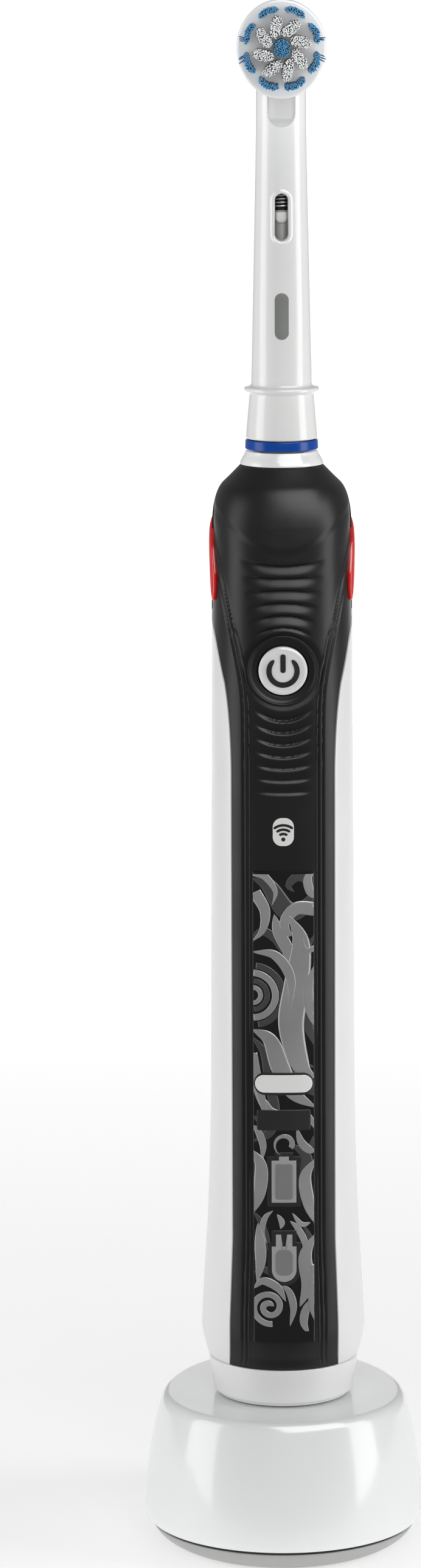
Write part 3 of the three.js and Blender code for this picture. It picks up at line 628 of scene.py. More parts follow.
def band(path, width, taper, lift):
    """A ribbon along a path, `width` at its widest. Its half width is a sine of the share of the way raised
    to a power: `leaf` pinches both ends, `horn` only the last, and `even` neither. It stops at the strip's
    edge."""
    share = np.linspace(0, 1, len(path))[:, None]
    along = np.gradient(path, axis=0)
    side = np.stack([-along[:, 1], along[:, 0]], axis=1)
    side /= np.linalg.norm(side, axis=1, keepdims=True) + 1e-9
    half = {"leaf": np.sin(math.pi * share) ** 0.8, "horn": np.cos(math.pi / 2 * share) ** 0.9,
            "even": 1 + 0 * share}[taper] * width / 2
    across = np.linspace(-1, 1, 9)
    flat = path[:, None] + (side * half)[:, None] * across[None, :, None]
    x = np.clip(flat[..., 0], -STRIP_HALF + 0.12, STRIP_HALF - 0.12)
    h = np.clip(flat[..., 1], STRIP_LOW + 2, STRIP_HIGH - 0.5)
    return on_front(x, h, STRIP_LIFT + lift)


def pattern(name, bands, lift, material):
    """Bands laid on the strip as one thin sheet, given a hair of thickness."""
    grids = [band(path, width, taper, lift + 0.002 * i)
             for i, (path, width, taper) in enumerate(bands)]
    made = piece(name, grids, material, "handle", weld=0, turn_out=False,
                 closed=False)
    film = made.modifiers.new("film", "SOLIDIFY")
    film.thickness = 0.00002
    film.offset = -1
    return made


dark_bands = [
    (bent((-5.4, 83.6), (-3.6, 84.6), (-1.6, 83.4), (-0.4, 80.8)), 1.5, "leaf"),
    (bent((-5.5, 66.2), (-3.4, 63.4), (-2.9, 60.4), (-3.4, 57.8)), 1.6, "leaf"),
    (bent((5.5, 60.6), (3.4, 61.6), (1.9, 64.8), (1.8, 68.8)), 1.0, "leaf"),
    (bent((-5.4, 52.2), (-3.6, 50.8), (-2.8, 48.0)), 1.3, "leaf"),
    (bent((5.5, 48.2), (4.2, 46.2), (3.0, 45.6)), 1.2, "horn"),
    (bent((-5.4, 24.6), (-3.4, 25.2), (-1.6, 24.0), (-0.4, 21.6)), 1.2, "leaf"),
    (bent((-5.3, 93.8), (-2.6, 92.6), (0.4, 88.4), (3.2, 88.6), (5.4, 91.6)), 3.4, "leaf"),
    (bent((5.6, 93), (2.6, 94.2), (0.9, 92.6), (1.9, 91.4)), 2.0, "horn"),
    (bent((5.4, 84), (2.4, 78), (3.6, 70), (5.6, 64)), 2.6, "leaf"),
    (ring_path(-5.3, 73.4, 5.2, -80, 84), 1.1, "even"),
    (ring_path(-5.3, 73.4, 2.5, -84, 84), 0.9, "even"),
    (bent((0.6, 66.5), (1.2, 60.5), (3.2, 57.6), (5.5, 56.4)), 1.7, "even"),
    (bent((-4.6, 58.4), (-1.9, 55.4), (-2.2, 49.8), (-5.4, 47.6)), 1.9, "leaf"),
    (bent((1.2, 47.4), (3.9, 44.8), (3.5, 40.0), (5.5, 36.6)), 2.2, "leaf"),
    (bent((-5.3, 35.4), (-3.9, 33.2), (-3.1, 29.4), (-5.4, 26.8)), 1.2, "leaf"),
    (bent((3.2, 33.4), (4.6, 29.8), (3.1, 26.0), (5.3, 23.2)), 1.3, "leaf"),
]
light_bands = [
    (bent((-5.4, 95), (-3.2, 94.2), (-1.4, 91.6), (-2.0, 89.0)), 1.5, "horn"),
    (bent((5.5, 95.4), (4.2, 93.8), (4.6, 91.4), (5.6, 90.2)), 1.6, "leaf"),
    (bent((-1.6, 87.6), (-0.9, 84.6), (1.0, 80.4), (1.4, 74)), 2.2, "leaf"),
    (bent((-5.5, 57.8), (-3.6, 54.6), (-2.2, 53.0), (0.4, 52.8)), 1.7, "leaf"),
    (bent((2.2, 50.2), (3.0, 47.6), (4.4, 46.2), (5.5, 46.0)), 1.5, "leaf"),
    (bent((-5.5, 50.6), (-4.4, 49.4), (-3.6, 47.0), (-3.8, 44.2)), 1.3, "leaf"),
    (bent((-1.9, 35.6), (-3.2, 34.4), (-3.8, 32.0), (-3.0, 29.8)), 1.0, "leaf"),
    (bent((1.0, 33.8), (2.4, 32.4), (3.6, 29.8), (3.4, 27.2)), 1.2, "leaf"),
    (bent((-0.6, 22.6), (0.9, 21.2), (1.6, 18.4), (1.0, 15.2)), 1.3, "leaf"),
    (bent((5.5, 20.4), (3.9, 18.4), (3.4, 15.8), (4.3, 13.6)), 1.5, "leaf"),
    (bent((-4.9, 91.4), (-3.2, 88.2), (-3.6, 84.8), (-5.6, 82.6)), 2.1, "horn"),
    (bent((5.5, 88.4), (2.2, 88.6), (0.2, 86.2), (0.9, 84.2), (2.0, 84.8)), 2.4, "horn"),
    (bent((1.0, 87.4), (3.0, 82.5), (2.2, 75), (1.3, 68), (3.0, 61), (5.5, 58.8)), 4.6, "leaf"),
    (bent((5.4, 81.6), (3.9, 81.2), (3.2, 83.0), (4.2, 84.0)), 1.0, "horn"),
    (bent((5.5, 79), (4.3, 74.5), (4.7, 70.5), (5.6, 67.5)), 1.9, "leaf"),
    (bent((-5.4, 81.0), (-1.4, 80.4), (1.2, 76.4), (1.0, 70.4)), 1.8, "leaf"),
    (ring_path(-5.3, 73.4, 3.9, -88, 88), 1.15, "even"),
    (ring_path(-5.3, 73.4, 1.35, -90, 90), 0.8, "even"),
    (bent((-5.4, 67.4), (-2.4, 65.6), (-0.6, 60.8), (1.6, 56.4), (5.5, 53.6)), 3.3, "leaf"),
    (bent((-5.5, 63.2), (-4.5, 58), (-3.4, 53.6), (-2.9, 50.9)), 1.9, "horn"),
    (bent((0.2, 50.4), (2.9, 52.6), (4.7, 51.4), (5.5, 49.6)), 1.3, "leaf"),
    (ring_path(0.2, 47.2, 1.1, -30, 250, grow=0.9), 0.9, "horn"),
    (bent((-5.5, 46.2), (-4.0, 43.4), (-4.3, 38.6), (-5.6, 34.8)), 2.4, "leaf"),
    (bent((5.5, 44.6), (3.7, 41.4), (4.3, 36.8), (5.5, 33.0)), 2.3, "leaf"),
    (bent((-1.2, 35.0), (-0.4, 33.6), (-0.6, 32.4)), 1.0, "leaf"),
    (bent((1.4, 35.2), (3.0, 33.2), (4.6, 33.4)), 0.9, "leaf"),
    (bent((-4.5, 33.4), (-4.2, 30.2), (-4.1, 26.6), (-4.7, 22.9)), 2.0, "leaf"),
    (bent((5.4, 31.4), (3.7, 27.6), (4.1, 22.6), (2.7, 18.6)), 2.5, "leaf"),
    (bent((5.5, 26), (4.9, 22), (4.7, 18.6), (5.3, 15.8)), 1.6, "horn"),
    (ring_path(-2.6, 18.6, 0.35, 30, 640, grow=2.7, steps=140), 1.05, "even"),
    (bent((-5.3, 21.8), (-3.6, 23.2), (-1.1, 22.0), (0.3, 19.6)), 1.5, "leaf"),
]
pattern("dark_grey_print", dark_bands, 0.02, ink_dark)
pattern("light_grey_print", light_bands, 0.055, ink_light)

# ---------------------------------------------------------------------------------------------------------
# A blank pill badge across the strip, white enamel in a black border, with a plain black field under it.

badge_white = finish("badge_enamel", (0.8, 0.8, 0.79), 0.2, mottle=0.02, grain=1500, lift=0.000005,
                     spread=0.04)
mark_black = finish("mark_black", (0.012, 0.012, 0.012), 0.3, mottle=0.2, grain=2500, lift=0.00001)
BADGE_HEIGHT = 57.9


def badge_plate(name, height, shape, lift, material):
    """A flat plate stuck on the strip at that height."""
    rows = plate(filled_edges(shape) + [0, height], (0, height), STRIP_LIFT + lift, -0.1)
    return piece(name, [rows], material, "handle", sharp=50)


badge_plate("badge_border", BADGE_HEIGHT, rounded_rectangle(10.4, 4.0, 1.99, 14), 0.14, mark_black)
badge_plate("badge_face", BADGE_HEIGHT, rounded_rectangle(9.9, 3.1, 1.54, 14), 0.2, badge_white)
badge_plate("badge_blank_field", BADGE_HEIGHT - 6.4, rounded_rectangle(9.3, 3.6, 0.3), 0.14, mark_black)

# ---------------------------------------------------------------------------------------------------------
# The two status windows, grey light guides in thick black surrounds: a battery with its nub, and a plug with
# two prongs and a round foot.


def battery_outline(grow=0.0):
    """A rectangle with a nub on top, widened by `grow` all round."""
    half, low, high, nub = 2.13 + grow, 37 - grow, 44.4 + grow, 0.85 + grow
    return np.array([(half, low), (half, high), (nub, high), (nub, high + 0.7), (-nub, high + 0.7),
                     (-nub, high), (-half, high), (-half, low)])


def plug_outline(grow=0.0):
    """Two prongs on a body with a round foot, widened by `grow` all round."""
    half, high, tip = 2.13 + grow, 29.3 + grow, 31.4 + grow
    near, far = max(0.53 - grow, 0.02), 1.42 + grow
    foot_arc = np.radians(np.linspace(180, 360, 25))
    arc = np.stack([half * np.cos(foot_arc), 25.2 + half * np.sin(foot_arc)], axis=1)
    crown = [(half, high), (far, high), (far, tip), (near, tip), (near, high), (-near, high), (-near, tip),
             (-far, tip), (-far, high), (-half, high)]
    return np.concatenate([arc, crown])


def guide_plate(name, shape, middle, lift, material, replaces=()):
    """One layer of a window: its shape, set in the strip and standing over it by `lift`."""
    rows = plate(filled_edges(np.asarray(shape)), middle, STRIP_LIFT + lift, -0.35, edge=0.05)
    return piece(name, [rows], material, "handle", replaces, sharp=50)


guide_grey = finish("light_guide_grey", (0.19, 0.19, 0.19), 0.3, mottle=0.04, patch=300, grain=3000,
                    lift=0.000008, Coat_Weight=0.3, Coat_Roughness=0.1)
guide_border = finish("light_guide_border", (0.33, 0.33, 0.33), 0.28, mottle=0.03, patch=300, grain=3000,
                      lift=0.000008)
for label, shape, middle, node in (("battery", battery_outline, (0, 40.7), "battery_window"),
                                   ("plug", plug_outline, (0, 27.6), "plug_window")):
    guide_plate(f"{label}_surround", shape(0.72), middle, 0.1, mark_black)
    guide_plate(f"{label}_border", shape(0), middle, 0.16, guide_border, [node])
inner_battery = rounded_rectangle(3.0, 6.3, 0.4) + [0, 40.7]
inner_plug = rounded_rectangle(3.0, 4.6, 1.1) + [0, 26.5]
guide_plate("battery_guide", inner_battery, (0, 40.7), 0.2, guide_grey)
guide_plate("plug_guide", inner_plug, (0, 26.5), 0.2, guide_grey)

# ---------------------------------------------------------------------------------------------------------
# The radio link's window: a white light guide marked with three plain arcs over a dot.

WIRELESS = 101.85
window_shape = rounded_rectangle(3.6, 4.85, 1.55, 12) + [0, WIRELESS]
piece("wireless_window_face", [plate(window_shape, (0, WIRELESS), 0.1, -0.4)], badge_white, "handle",
      ["wireless_window"], sharp=50)


def stroke_sides(path, width, blunt):
    """The two sides of a line of even width. Its ends close like a superellipse of power `blunt`."""
    along = np.gradient(path, axis=0)
    side = np.stack([-along[:, 1], along[:, 0]], axis=1)
    side /= np.linalg.norm(side, axis=1, keepdims=True)
    share = np.linspace(-1, 1, len(path))[:, None]
    half = width / 2 * np.sqrt(np.clip(1 - np.abs(share) ** blunt, 0, 1))
    return path + side * half, path - side * half


def stroke(path, width, top, under=-0.3):
    """A line with round ends, raised off the front: its four corners carried along the path."""
    left, right = stroke_sides(path, width, 16)
    corners = ((left, top), (right, top), (right, under), (left, under))
    return np.stack([on_front(*edge.T, lift) for edge, lift in corners], axis=1)


arcs = [stroke(ring_path(0, WIRELESS - 1.3, radius, 48, 132, steps=24), 0.44, 0.13)
        for radius in (1.0, 1.75, 2.5)]
dot = ring_path(0, WIRELESS - 1.25, 0.38, 0, 345, steps=24)
arcs.append(plate(dot, (0, WIRELESS - 1.25), 0.13, -0.3))
piece("wireless_mark", arcs, mark_black, "handle", sharp=50)

# ---------------------------------------------------------------------------------------------------------
# The power button: a glossy white cap in a dished black ring. It travels inwards over its switch. Its mark is
# the usual broken circle with a bar.

BUTTON_RADIUS = 4.17


def face_front(rows, height):
    """Rows turned about Z, laid down so that their height runs forwards."""
    return np.stack([rows[..., 0], -rows[..., 2], height + rows[..., 1]], axis=-1)


reach = -float(on_front(np.array([0.0]), np.array([BUTTON_HEIGHT]), FIELD_SUNK)[0, 1])
bezel_side = outline((4.4, reach - 2.0), (4.4, reach - 0.95), (4.45, reach - 0.8, 4.7, reach - 0.76),
                     (5.15, reach - 0.72), (5.5, reach - 0.66, 5.75, reach - 0.3),
                     (5.82, reach - 0.24, 5.95, reach - 0.27),
                     (6.05, reach - 0.34, 6.05, reach - 0.5), (6.05, reach - 2.0), (4.4, reach - 2.0))
piece("button_ring", [face_front(turned(bezel_side, 96), foot + BUTTON_HEIGHT)], grip_black, "handle",
      ["button_bezel"])

cap_white = finish("button_gloss_white", (0.8, 0.8, 0.8), 0.16, mottle=0.02, patch=200, grain=1500,
                   lift=0.000006, Coat_Weight=0.5, Coat_Roughness=0.06)
button_side = outline((0, reach - 1.65), (BUTTON_RADIUS - 0.05, reach - 1.65), (BUTTON_RADIUS, reach - 0.5),
                      (BUTTON_RADIUS, reach - 0.2, BUTTON_RADIUS - 0.25, reach - 0.12),
                      (BUTTON_RADIUS - 0.55, reach + 0.02, BUTTON_RADIUS - 0.7, reach - 0.06),
                      (2, reach + 0.02, 0, reach + 0.04))
piece("button_cap", [face_front(turned(button_side, 96), foot + BUTTON_HEIGHT)], cap_white, "button",
      ["power_button"])


def button_stroke(path, width):
    """A raised line with round ends on the cap's face."""
    left, right = stroke_sides(path, width, 9)
    rows = []
    for edge, lift in ((left, 0.1), (right, 0.1), (right, -0.3), (left, -0.3)):
        forward = np.full(len(edge), -reach - lift)
        rows.append(np.stack([edge[:, 0], forward, foot + BUTTON_HEIGHT + edge[:, 1]], axis=-1))
    return np.stack(rows, axis=1)


circle_mark = button_stroke(ring_path(0, 0, 2.39, 128, 412, steps=96), 0.92)
bar_mark = button_stroke(np.stack([np.zeros(48), np.linspace(-0.32, 2.9, 48)], axis=1), 0.92)
piece("button_mark", [circle_mark, bar_mark], mark_black, "button", sharp=50)

# ---------------------------------------------------------------------------------------------------------
# The pressure light: one clear red lens that starts as a drop on each side of the grip and sweeps up and
# round behind the shoulders.

LENS_BULGE = 0.6


def light_band():
    """A domed ribbon. Its angle from the front grows faster and faster on its way round, its height rises
    and levels off, and its width swells quickly from each tip."""
    way = np.concatenate([np.linspace(0, 0.12, 16), np.linspace(0.14, 1, 70)])
    angle = np.radians(75 + 105 * way ** 1.9)
    h = 140.6 + 15.2 * (1 - (1 - way) ** 2.2)
    start = np.clip(way / 0.16, 0, 1)
    half = 1.75 * np.sqrt(start * (2 - start)) - 0.45 * smooth(way, 0.4, 1)
    arc = body_radius(h) * angle
    steer = np.stack([np.gradient(arc), np.gradient(h)], axis=1)
    steer /= np.linalg.norm(steer, axis=1, keepdims=True)
    across = np.sin(np.linspace(-math.pi / 2, math.pi / 2, 13))
    lifts = LENS_BULGE * np.cos(np.linspace(-math.pi / 2, math.pi / 2, 13)) ** 0.7
    across = np.concatenate([across, [1, -1]])
    lifts = np.concatenate([lifts, [-0.7, -0.7]])
    swell = (half / half.max())[:, None]
    shift = half[:, None] * across
    turn = (arc[:, None] - steer[:, 1, None] * shift) / body_radius(h)[:, None]
    rise = h[:, None] + steer[:, 0, None] * shift
    lift = np.where(lifts > 0, lifts * swell ** 0.5, lifts)
    right = on_body(turn, rise, lift)
    left = on_body(-turn, rise, lift)
    return np.concatenate([right, left[::-1][1:]])


def red_glass():
    """Clear red, a little lit from within."""
    material = finish("light_lens_red", (0.72, 0.004, 0.004), 0.12, mottle=0.1, patch=120, grain=1500,
                      lift=0.000005,
                      spread=0.03, Transmission_Weight=0.25, Coat_Weight=0.6, Coat_Roughness=0.04)
    shader = material.node_tree.nodes["Principled BSDF"]
    shader.inputs["Emission Color"].default_value = (0.8, 0.0, 0.0, 1)
    shader.inputs["Emission Strength"].default_value = 0.12
    return material


piece("pressure_lens", [light_band()], red_glass(), "handle", ["pressure_light_lens"], sharp=60)

# ---------------------------------------------------------------------------------------------------------
# The neck collar, glossy white: a flared skirt on the shoulders, and the tapered neck that a head slides
# over, with the steel drive shaft running up through its seal.

collar_white = finish("collar_gloss_white", (0.94, 0.94, 0.93), 0.2, mottle=0.02, patch=200, grain=1500,
                      lift=0.000006, Coat_Weight=0.4, Coat_Roughness=0.08)
collar_side = outline((2.6, 156), (4.6, 156), (4.6, 163.7), (7.05, 163.7), (7.16, 163.75, 7.12, 163.95),
                      (6.95, 164.5, 6.55, 165.1), (6.3, 165.5, 6.15, 165.95), (6.1, 166.02, 6.0, 166.0),
                      (3.75, 166.0), (3.6, 166.4), (2.95, 171.7), (2.9, 172, 2.7, 172), (1.75, 172),
                      (1.75, 163), (2.6, 163), (2.6, 156))
piece("collar", [turned(collar_side + [0, foot], 96)], collar_white, "handle", ["neck_collar"],
      sharp=40)

shaft_steel = finish("shaft_steel", (0.6, 0.61, 0.63), 0.24, mottle=0.05, patch=400, grain=2600,
                     lift=0.000008, stretch=(1, 1, 0.05), Metallic=1.0)


def shaft_rows():
    """A round bar with a flat ground on the front of its upper end, turned in from a circle."""
    side = outline((0, 118.2), (1.3, 118.2), (1.5, 118.4), (1.5, 174.4), (1.5, 174.5), (1.5, 185.6),
                   (1.3, 186), (0, 186))
    rows = turned(side + [0, foot], 48)
    flat = rows[..., 2] > foot + 174.45
    rows[..., 1] = np.where(flat, np.maximum(rows[..., 1], -0.52), rows[..., 1])
    return rows


piece("drive_bar", [shaft_rows()], shaft_steel, "swing_shaft", ["drive_shaft"], sharp=30)
seal_side = outline((1.62, 172.15), (2.5, 172.15), (2.7, 172.2, 2.68, 172.5), (2.3, 173.1, 1.75, 173.2),
                    (1.6, 172.9), (1.62, 172.15))
seal_rubber = finish("seal_rubber", (0.03, 0.03, 0.032), 0.6, mottle=0.2, grain=3000, lift=0.00003)
piece("neck_seal", [turned(seal_side + [0, foot], 48)], seal_rubber, "handle", ["shaft_seal"])

# ---------------------------------------------------------------------------------------------------------
# The brush head's stem: one glossy white moulding, a long taper over a thin flange and a short skirt. Its
# front is a little flatter than round, with a notch under the brush and a small window lower down.

WINDOW = (35.6, 43.6)  # heights over the head's foot
WINDOW_HALF = 1.17
NOTCH_LOW = 54.8
NOTCH_HALF = 2.33

stem_white = finish("stem_gloss_white", (0.85, 0.85, 0.845), 0.2, mottle=0.015, patch=150, grain=1600,
                    lift=0.000008, spread=0.04, Coat_Weight=0.3, Coat_Roughness=0.12)

stem_side = outline((5.15, 1.8), (6.0, 1.8), (6.14, 1.85, 6.12, 2.1), (5.5, 9.3), (5.5, 9.7, 5.75, 9.75),
                    (6.1, 9.8), (6.42, 9.95, 6.4, 10.3), (6.35, 10.62, 6.0, 10.7), (5.5, 10.75),
                    (5.2, 10.8, 5.18, 11.3),
                    (4.72, 30, 4.25, 54), (4.22, 66), (4.15, 72.9, 0, 73.2), steps=20)


def off_window(x, h):
    """Distance from the window's edge, less than zero inside it."""
    middle = np.clip(h, WINDOW[0] + WINDOW_HALF, WINDOW[1] - WINDOW_HALF)
    return np.hypot(x, h - middle) - WINDOW_HALF


def stem_depth(x, h):
    """How far the stem's front is sunk: the window down to the hollow, with a raised rim round it, and a
    notch whose foot is scooped out."""
    out = off_window(x, h)
    window = 1.45 * (1 - smooth(out, -0.12, 0.06)) - 0.15 * np.exp(-((out - 0.4) / 0.2) ** 2)
    low = NOTCH_LOW + NOTCH_HALF
    edge = np.where(h < low, np.hypot(x, h - low), np.abs(x)) - NOTCH_HALF
    notch = 2.0 * (1 - smooth(edge, -0.14, 0.1))
    scoop = 1 - 0.75 * (1 - smooth(h, NOTCH_LOW + 0.1, NOTCH_LOW + 1.5))
    return window + notch * scoop


stem_columns = np.concatenate([np.arange(-0.72, 0.72, 0.018), np.linspace(0.75, 2 * math.pi - 0.75, 64)])


def stem_rows():
    """The outline turned, on rows and columns that crowd together round the window and the notch."""
    heights = np.unique(np.concatenate([stem_side[4:, 1], np.arange(12, 73, 0.5), np.arange(34.6, 44.6, 0.09),
                                        np.arange(54.2, 58.5, 0.1), np.arange(58.5, 68, 0.3)]))
    keep = np.concatenate([[True], np.diff(heights) > 0.02])
    radius = np.interp(heights[keep], stem_side[4:, 1], stem_side[4:, 0])
    foot_part = stem_side[:4]
    side = np.concatenate([foot_part, np.stack([radius, heights[keep]], axis=1)[1:]])
    front = stem_columns
    h = side[:, 1, None]
    flatten = 1 - 0.06 * smooth(h, 10.7, 25)
    x = side[:, 0, None] * np.sin(front)
    y = -side[:, 0, None] * np.cos(front)
    ahead = (np.cos(front) > 0.6) & (side[:, 0, None] > 3.9)
    y = y * flatten + np.where(ahead, stem_depth(x, h), 0)
    return np.stack([x, y, neck + np.broadcast_to(h, x.shape)], axis=-1)


def stem_bore():
    """The hollow inside, from the skirt's edge past the window."""
    side = outline((6.0, 1.8), (5.2, 1.8), (5.15, 7), (3.4, 7.6), (3.3, 20), (2.9, 24))
    beside = np.stack([np.full(105, 2.9), np.linspace(34.6, 45, 105)], axis=1)
    side = np.concatenate([side, beside, [[2.9, 53], [0, 53]]])
    x, y = side[:, 0, None] * np.sin(stem_columns), -side[:, 0, None] * np.cos(stem_columns)
    return np.stack([x, y, neck + np.broadcast_to(side[:, 1, None], x.shape)], axis=-1)


def open_window(made):
    """Take out the faces that close the window, in the skin and in the hollow behind it."""
    work = bmesh.new()
    work.from_mesh(made.data)
    shut = []
    for face in work.faces:
        x, y, z = face.calc_center_median() * 1000
        forward = axis_y * 1000 - y
        if 0 < forward < 3.0 and off_window(x, z - neck) < -0.11:
            shut.append(face)
    bmesh.ops.delete(work, geom=shut, context="FACES")
    work.to_mesh(made.data)
    work.free()


open_window(piece("stem", [stem_rows(), stem_bore()], stem_white, "brush_head",
                  ["head_stem"], sharp=42, turn_out=False))

# ---------------------------------------------------------------------------------------------------------
# A blank grey pill lies flush on the stem's front, and the colour ring and the clip sit in its foot.

pill_grey = finish("pill_grey", (0.215, 0.222, 0.212), 0.35, mottle=0.03, patch=300, grain=2500,
                   lift=0.000008)


def stem_front(x, h, lift):
    """Points of the stem's front, lifted off it, at a width and a height over the head's foot."""
    radius = np.interp(h, stem_side[4:, 1], stem_side[4:, 0]) + lift
    along = -(1 - 0.06 * smooth(h, 10.7, 25)) * np.sqrt(np.maximum(radius ** 2 - x ** 2, 0.01))
    return np.stack([x, along, neck + h + 0 * x], axis=-1)


PILL_HEIGHT = 22.9
pill_shape = filled_edges(rounded_rectangle(2.4, 7.9, 1.19, 14))
pill_rows = np.stack([stem_front(*(pill_shape * share + [0, PILL_HEIGHT]).T, lift)
                      for share, lift in ((0, -0.1), (1, -0.1), (1, 0.01), (0.96, 0.035), (0.7, 0.035),
                                          (0.4, 0.035), (0, 0.035))])
piece("stem_badge", [pill_rows], pill_grey, "brush_head", sharp=50)

ring_blue = finish("ring_gloss_blue", (0.0, 0.06, 0.35), 0.24, mottle=0.05, patch=150, grain=1500,
                   lift=0.000006, Specular_IOR_Level=0.3)
ring_side = outline((5.2, 0), (6.1, 0), (6.27, 0, 6.27, 0.2), (6.2, 1.45), (6.18, 1.62, 6.0, 1.62),
                    (5.2, 1.62), (5.2, 0))
piece("blue_ring", [turned(ring_side + [0, neck], 96)], ring_blue, "brush_head", ["colour_ring"],
      sharp=40)

clip_white = finish("clip_acetal", (0.7, 0.69, 0.65), 0.4, mottle=0.03, grain=2500, lift=0.00002)
clip_side = outline((3.95, 0.3), (4.9, 0.3), (5.0, 0.3, 5.0, 0.5), (5.0, 6.5), (3.4, 6.6),
                    (3.3, 6.6, 3.3, 6.4), (3.95, 0.3))
piece("neck_clip", [turned(clip_side + [0, neck], 72)], clip_white, "brush_head", ["head_insert"],
      sharp=40)

# ---------------------------------------------------------------------------------------------------------
# In the window: the coil spring round a black sleeve on the drive rod, which is painted shade behind the
# coil, and the rod's white pointer below it on a rod painted grey for its shade. The rod swings with the
# shaft. Its arm ends in a ball that works the brush.

spring_steel = finish("spring_steel", (0.5, 0.5, 0.51), 0.26, mottle=0.1, patch=500, grain=2600,
                      lift=0.000006, Metallic=1.0)
# Painted shade: the rod is white acetal, given a mid grey for the shade it stands in inside the window; its
# pointer keeps the plain white.
rod_grey_painted_shade = finish("rod_acetal_painted_shade", (0.44, 0.44, 0.43), 0.38, mottle=0.03, grain=2500, lift=0.00002)


def swept(path, radius, sides=10):
    """A round section carried along a path, square to it at each point, its ends drawn to a point."""
    along = np.gradient(path, axis=0)
    along /= np.linalg.norm(along, axis=1, keepdims=True)
    out = np.cross(along, [0, 0, 1.0])
    length = np.linalg.norm(out, axis=1, keepdims=True)
    out = np.where(length > 0.05, out / np.maximum(length, 0.05), [[1.0, 0, 0]])
    up = np.cross(out, along)
    turn = np.linspace(0, 2 * math.pi, sides, endpoint=False)[None, :, None]
    radius = np.broadcast_to(radius, len(path)).copy()
    rows = path[:, None] + radius[:, None, None] * (np.cos(turn) * out[:, None] + np.sin(turn) * up[:, None])
    ends = [np.repeat(path[i][None, None], sides, axis=1) for i in (0, -1)]
    return np.concatenate([ends[0], rows, ends[1]])


turns = np.linspace(0, 10, 10 * 32 + 1)
coil = np.stack([2.3 * np.cos(2 * math.pi * turns), 2.3 * np.sin(2 * math.pi * turns),
                 neck + 41 + 0.6 * turns], axis=1)
piece("coil_spring", [swept(coil, 0.17)], spring_steel, "brush_head", ["rod_spring"], sharp=60)

rod_side = outline((1.65, 8), (2.5, 8), (2.6, 8.2), (2.6, 20), (1.9, 22.5), (1.88, 61), (1.6, 61.9, 1.4, 62),
                   (0, 62))
rod_bore = outline((0, 20.9), (1.65, 20.9), (1.65, 8))
arm = np.array([(0, -0.2, 61.4), (0, -1.2, 61.45), (0, -2.1, 61.6), (0, -2.4, 62.0), (0, -2.4, 63),
                (0, -2.4, 65.2)])
ball = np.linspace(-math.pi / 2, math.pi / 2, 12)
ball_side = np.stack([0.43 * np.cos(ball), 65.6 + 0.43 * np.sin(ball)], axis=1)
ball_rows = turned(ball_side + [0, neck], 24) + [0, -2.4, 0]
pointer_h = np.linspace(-1, 1, 17)
pointer_half = 1.08 * np.sqrt(np.clip(1 - np.clip(-pointer_h, 0, 1) ** 2.2, 0, 1))
pointer_half = pointer_half * (1 - 0.02 * (pointer_h > 0.9))
pointer_side = np.stack([pointer_half, 39.45 + 0.95 * pointer_h], axis=1)
pointer_side = np.concatenate([pointer_side, [[0, 40.42]]])
pointer = turned(pointer_side + [0, neck], 24) * [1, 0.6, 1] + [0, -2.0, 0]
piece("drive_link", [turned(np.concatenate([rod_bore, rod_side[1:]]) + [0, neck], 48),
                     swept(arm + [0, 0, neck], np.array([0.55, 0.55, 0.5, 0.4, 0.3, 0.27])), ball_rows],
      rod_grey_painted_shade, "head_rod", ["drive_rod"])
pointer_white = finish("pointer_white", (0.95, 0.95, 0.94), 0.35, mottle=0.02, grain=2500, lift=0.00001)
piece("rod_pointer", [pointer], pointer_white, "head_rod")
# Painted shade: a black sleeve on the rod where the rod behind the coil lies only in shade.
shade_sleeve_side = outline((1.7, 40.7), (1.96, 40.7), (1.98, 40.8), (1.98, 47.2), (1.7, 47.2), (1.7, 40.7))
piece("rod_shade_sleeve", [turned(shade_sleeve_side + [0, neck], 48)], mark_black, "head_rod")

# ---------------------------------------------------------------------------------------------------------
# The brush: an oval white disc on a steel axle, a flat face inside a rounded rim, a thinner plate behind it,
# and under its hub the fork that the drive ball works.

DISC_HALF = (7.53, 8.0)
DISC_LOW = 8.65
DISC_BACK, DISC_FACE = 5.2, 7.5
disc_white = finish("disc_gloss_white", (0.84, 0.84, 0.83), 0.2, mottle=0.015, patch=200, grain=1600,
                    lift=0.000006, spread=0.04, Coat_Weight=0.3, Coat_Roughness=0.1)


def paint_tuft_shade_on_face(material):
    """Painted shade: the face between the tufts darkens towards its middle, by the distance from the disc's
    centre, for the shade the tufts cast there.
    """
    nodes, links = material.node_tree.nodes, material.node_tree.links
    colour = nodes["Principled BSDF"].inputs["Base Color"]
    place, away = nodes.new("ShaderNodeTexCoord"), nodes.new("ShaderNodeVectorMath")
    away.operation = "DISTANCE"
    away.inputs[1].default_value = (0, axis_y - DISC_FACE * 0.001, disc_height * 0.001)
    dim, shade = nodes.new("ShaderNodeMapRange"), nodes.new("ShaderNodeMix")
    for socket, value in (("From Min", 0.0012), ("From Max", 0.0058), ("To Min", 0.4), ("To Max", 1.0)):
        dim.inputs[socket].default_value = value
    shade.data_type, shade.blend_type = "RGBA", "MULTIPLY"
    shade.inputs["Factor"].default_value = 1
    links.new(place.outputs["Object"], away.inputs[0])
    links.new(away.outputs["Value"], dim.inputs["Value"])
    links.new(colour.links[0].from_socket, shade.inputs["A"])
    links.new(dim.outputs["Result"], shade.inputs["B"])
    links.new(shade.outputs["Result"], colour)


# The disc's face gets painted shade between the tufts.
paint_tuft_shade_on_face(disc_white)


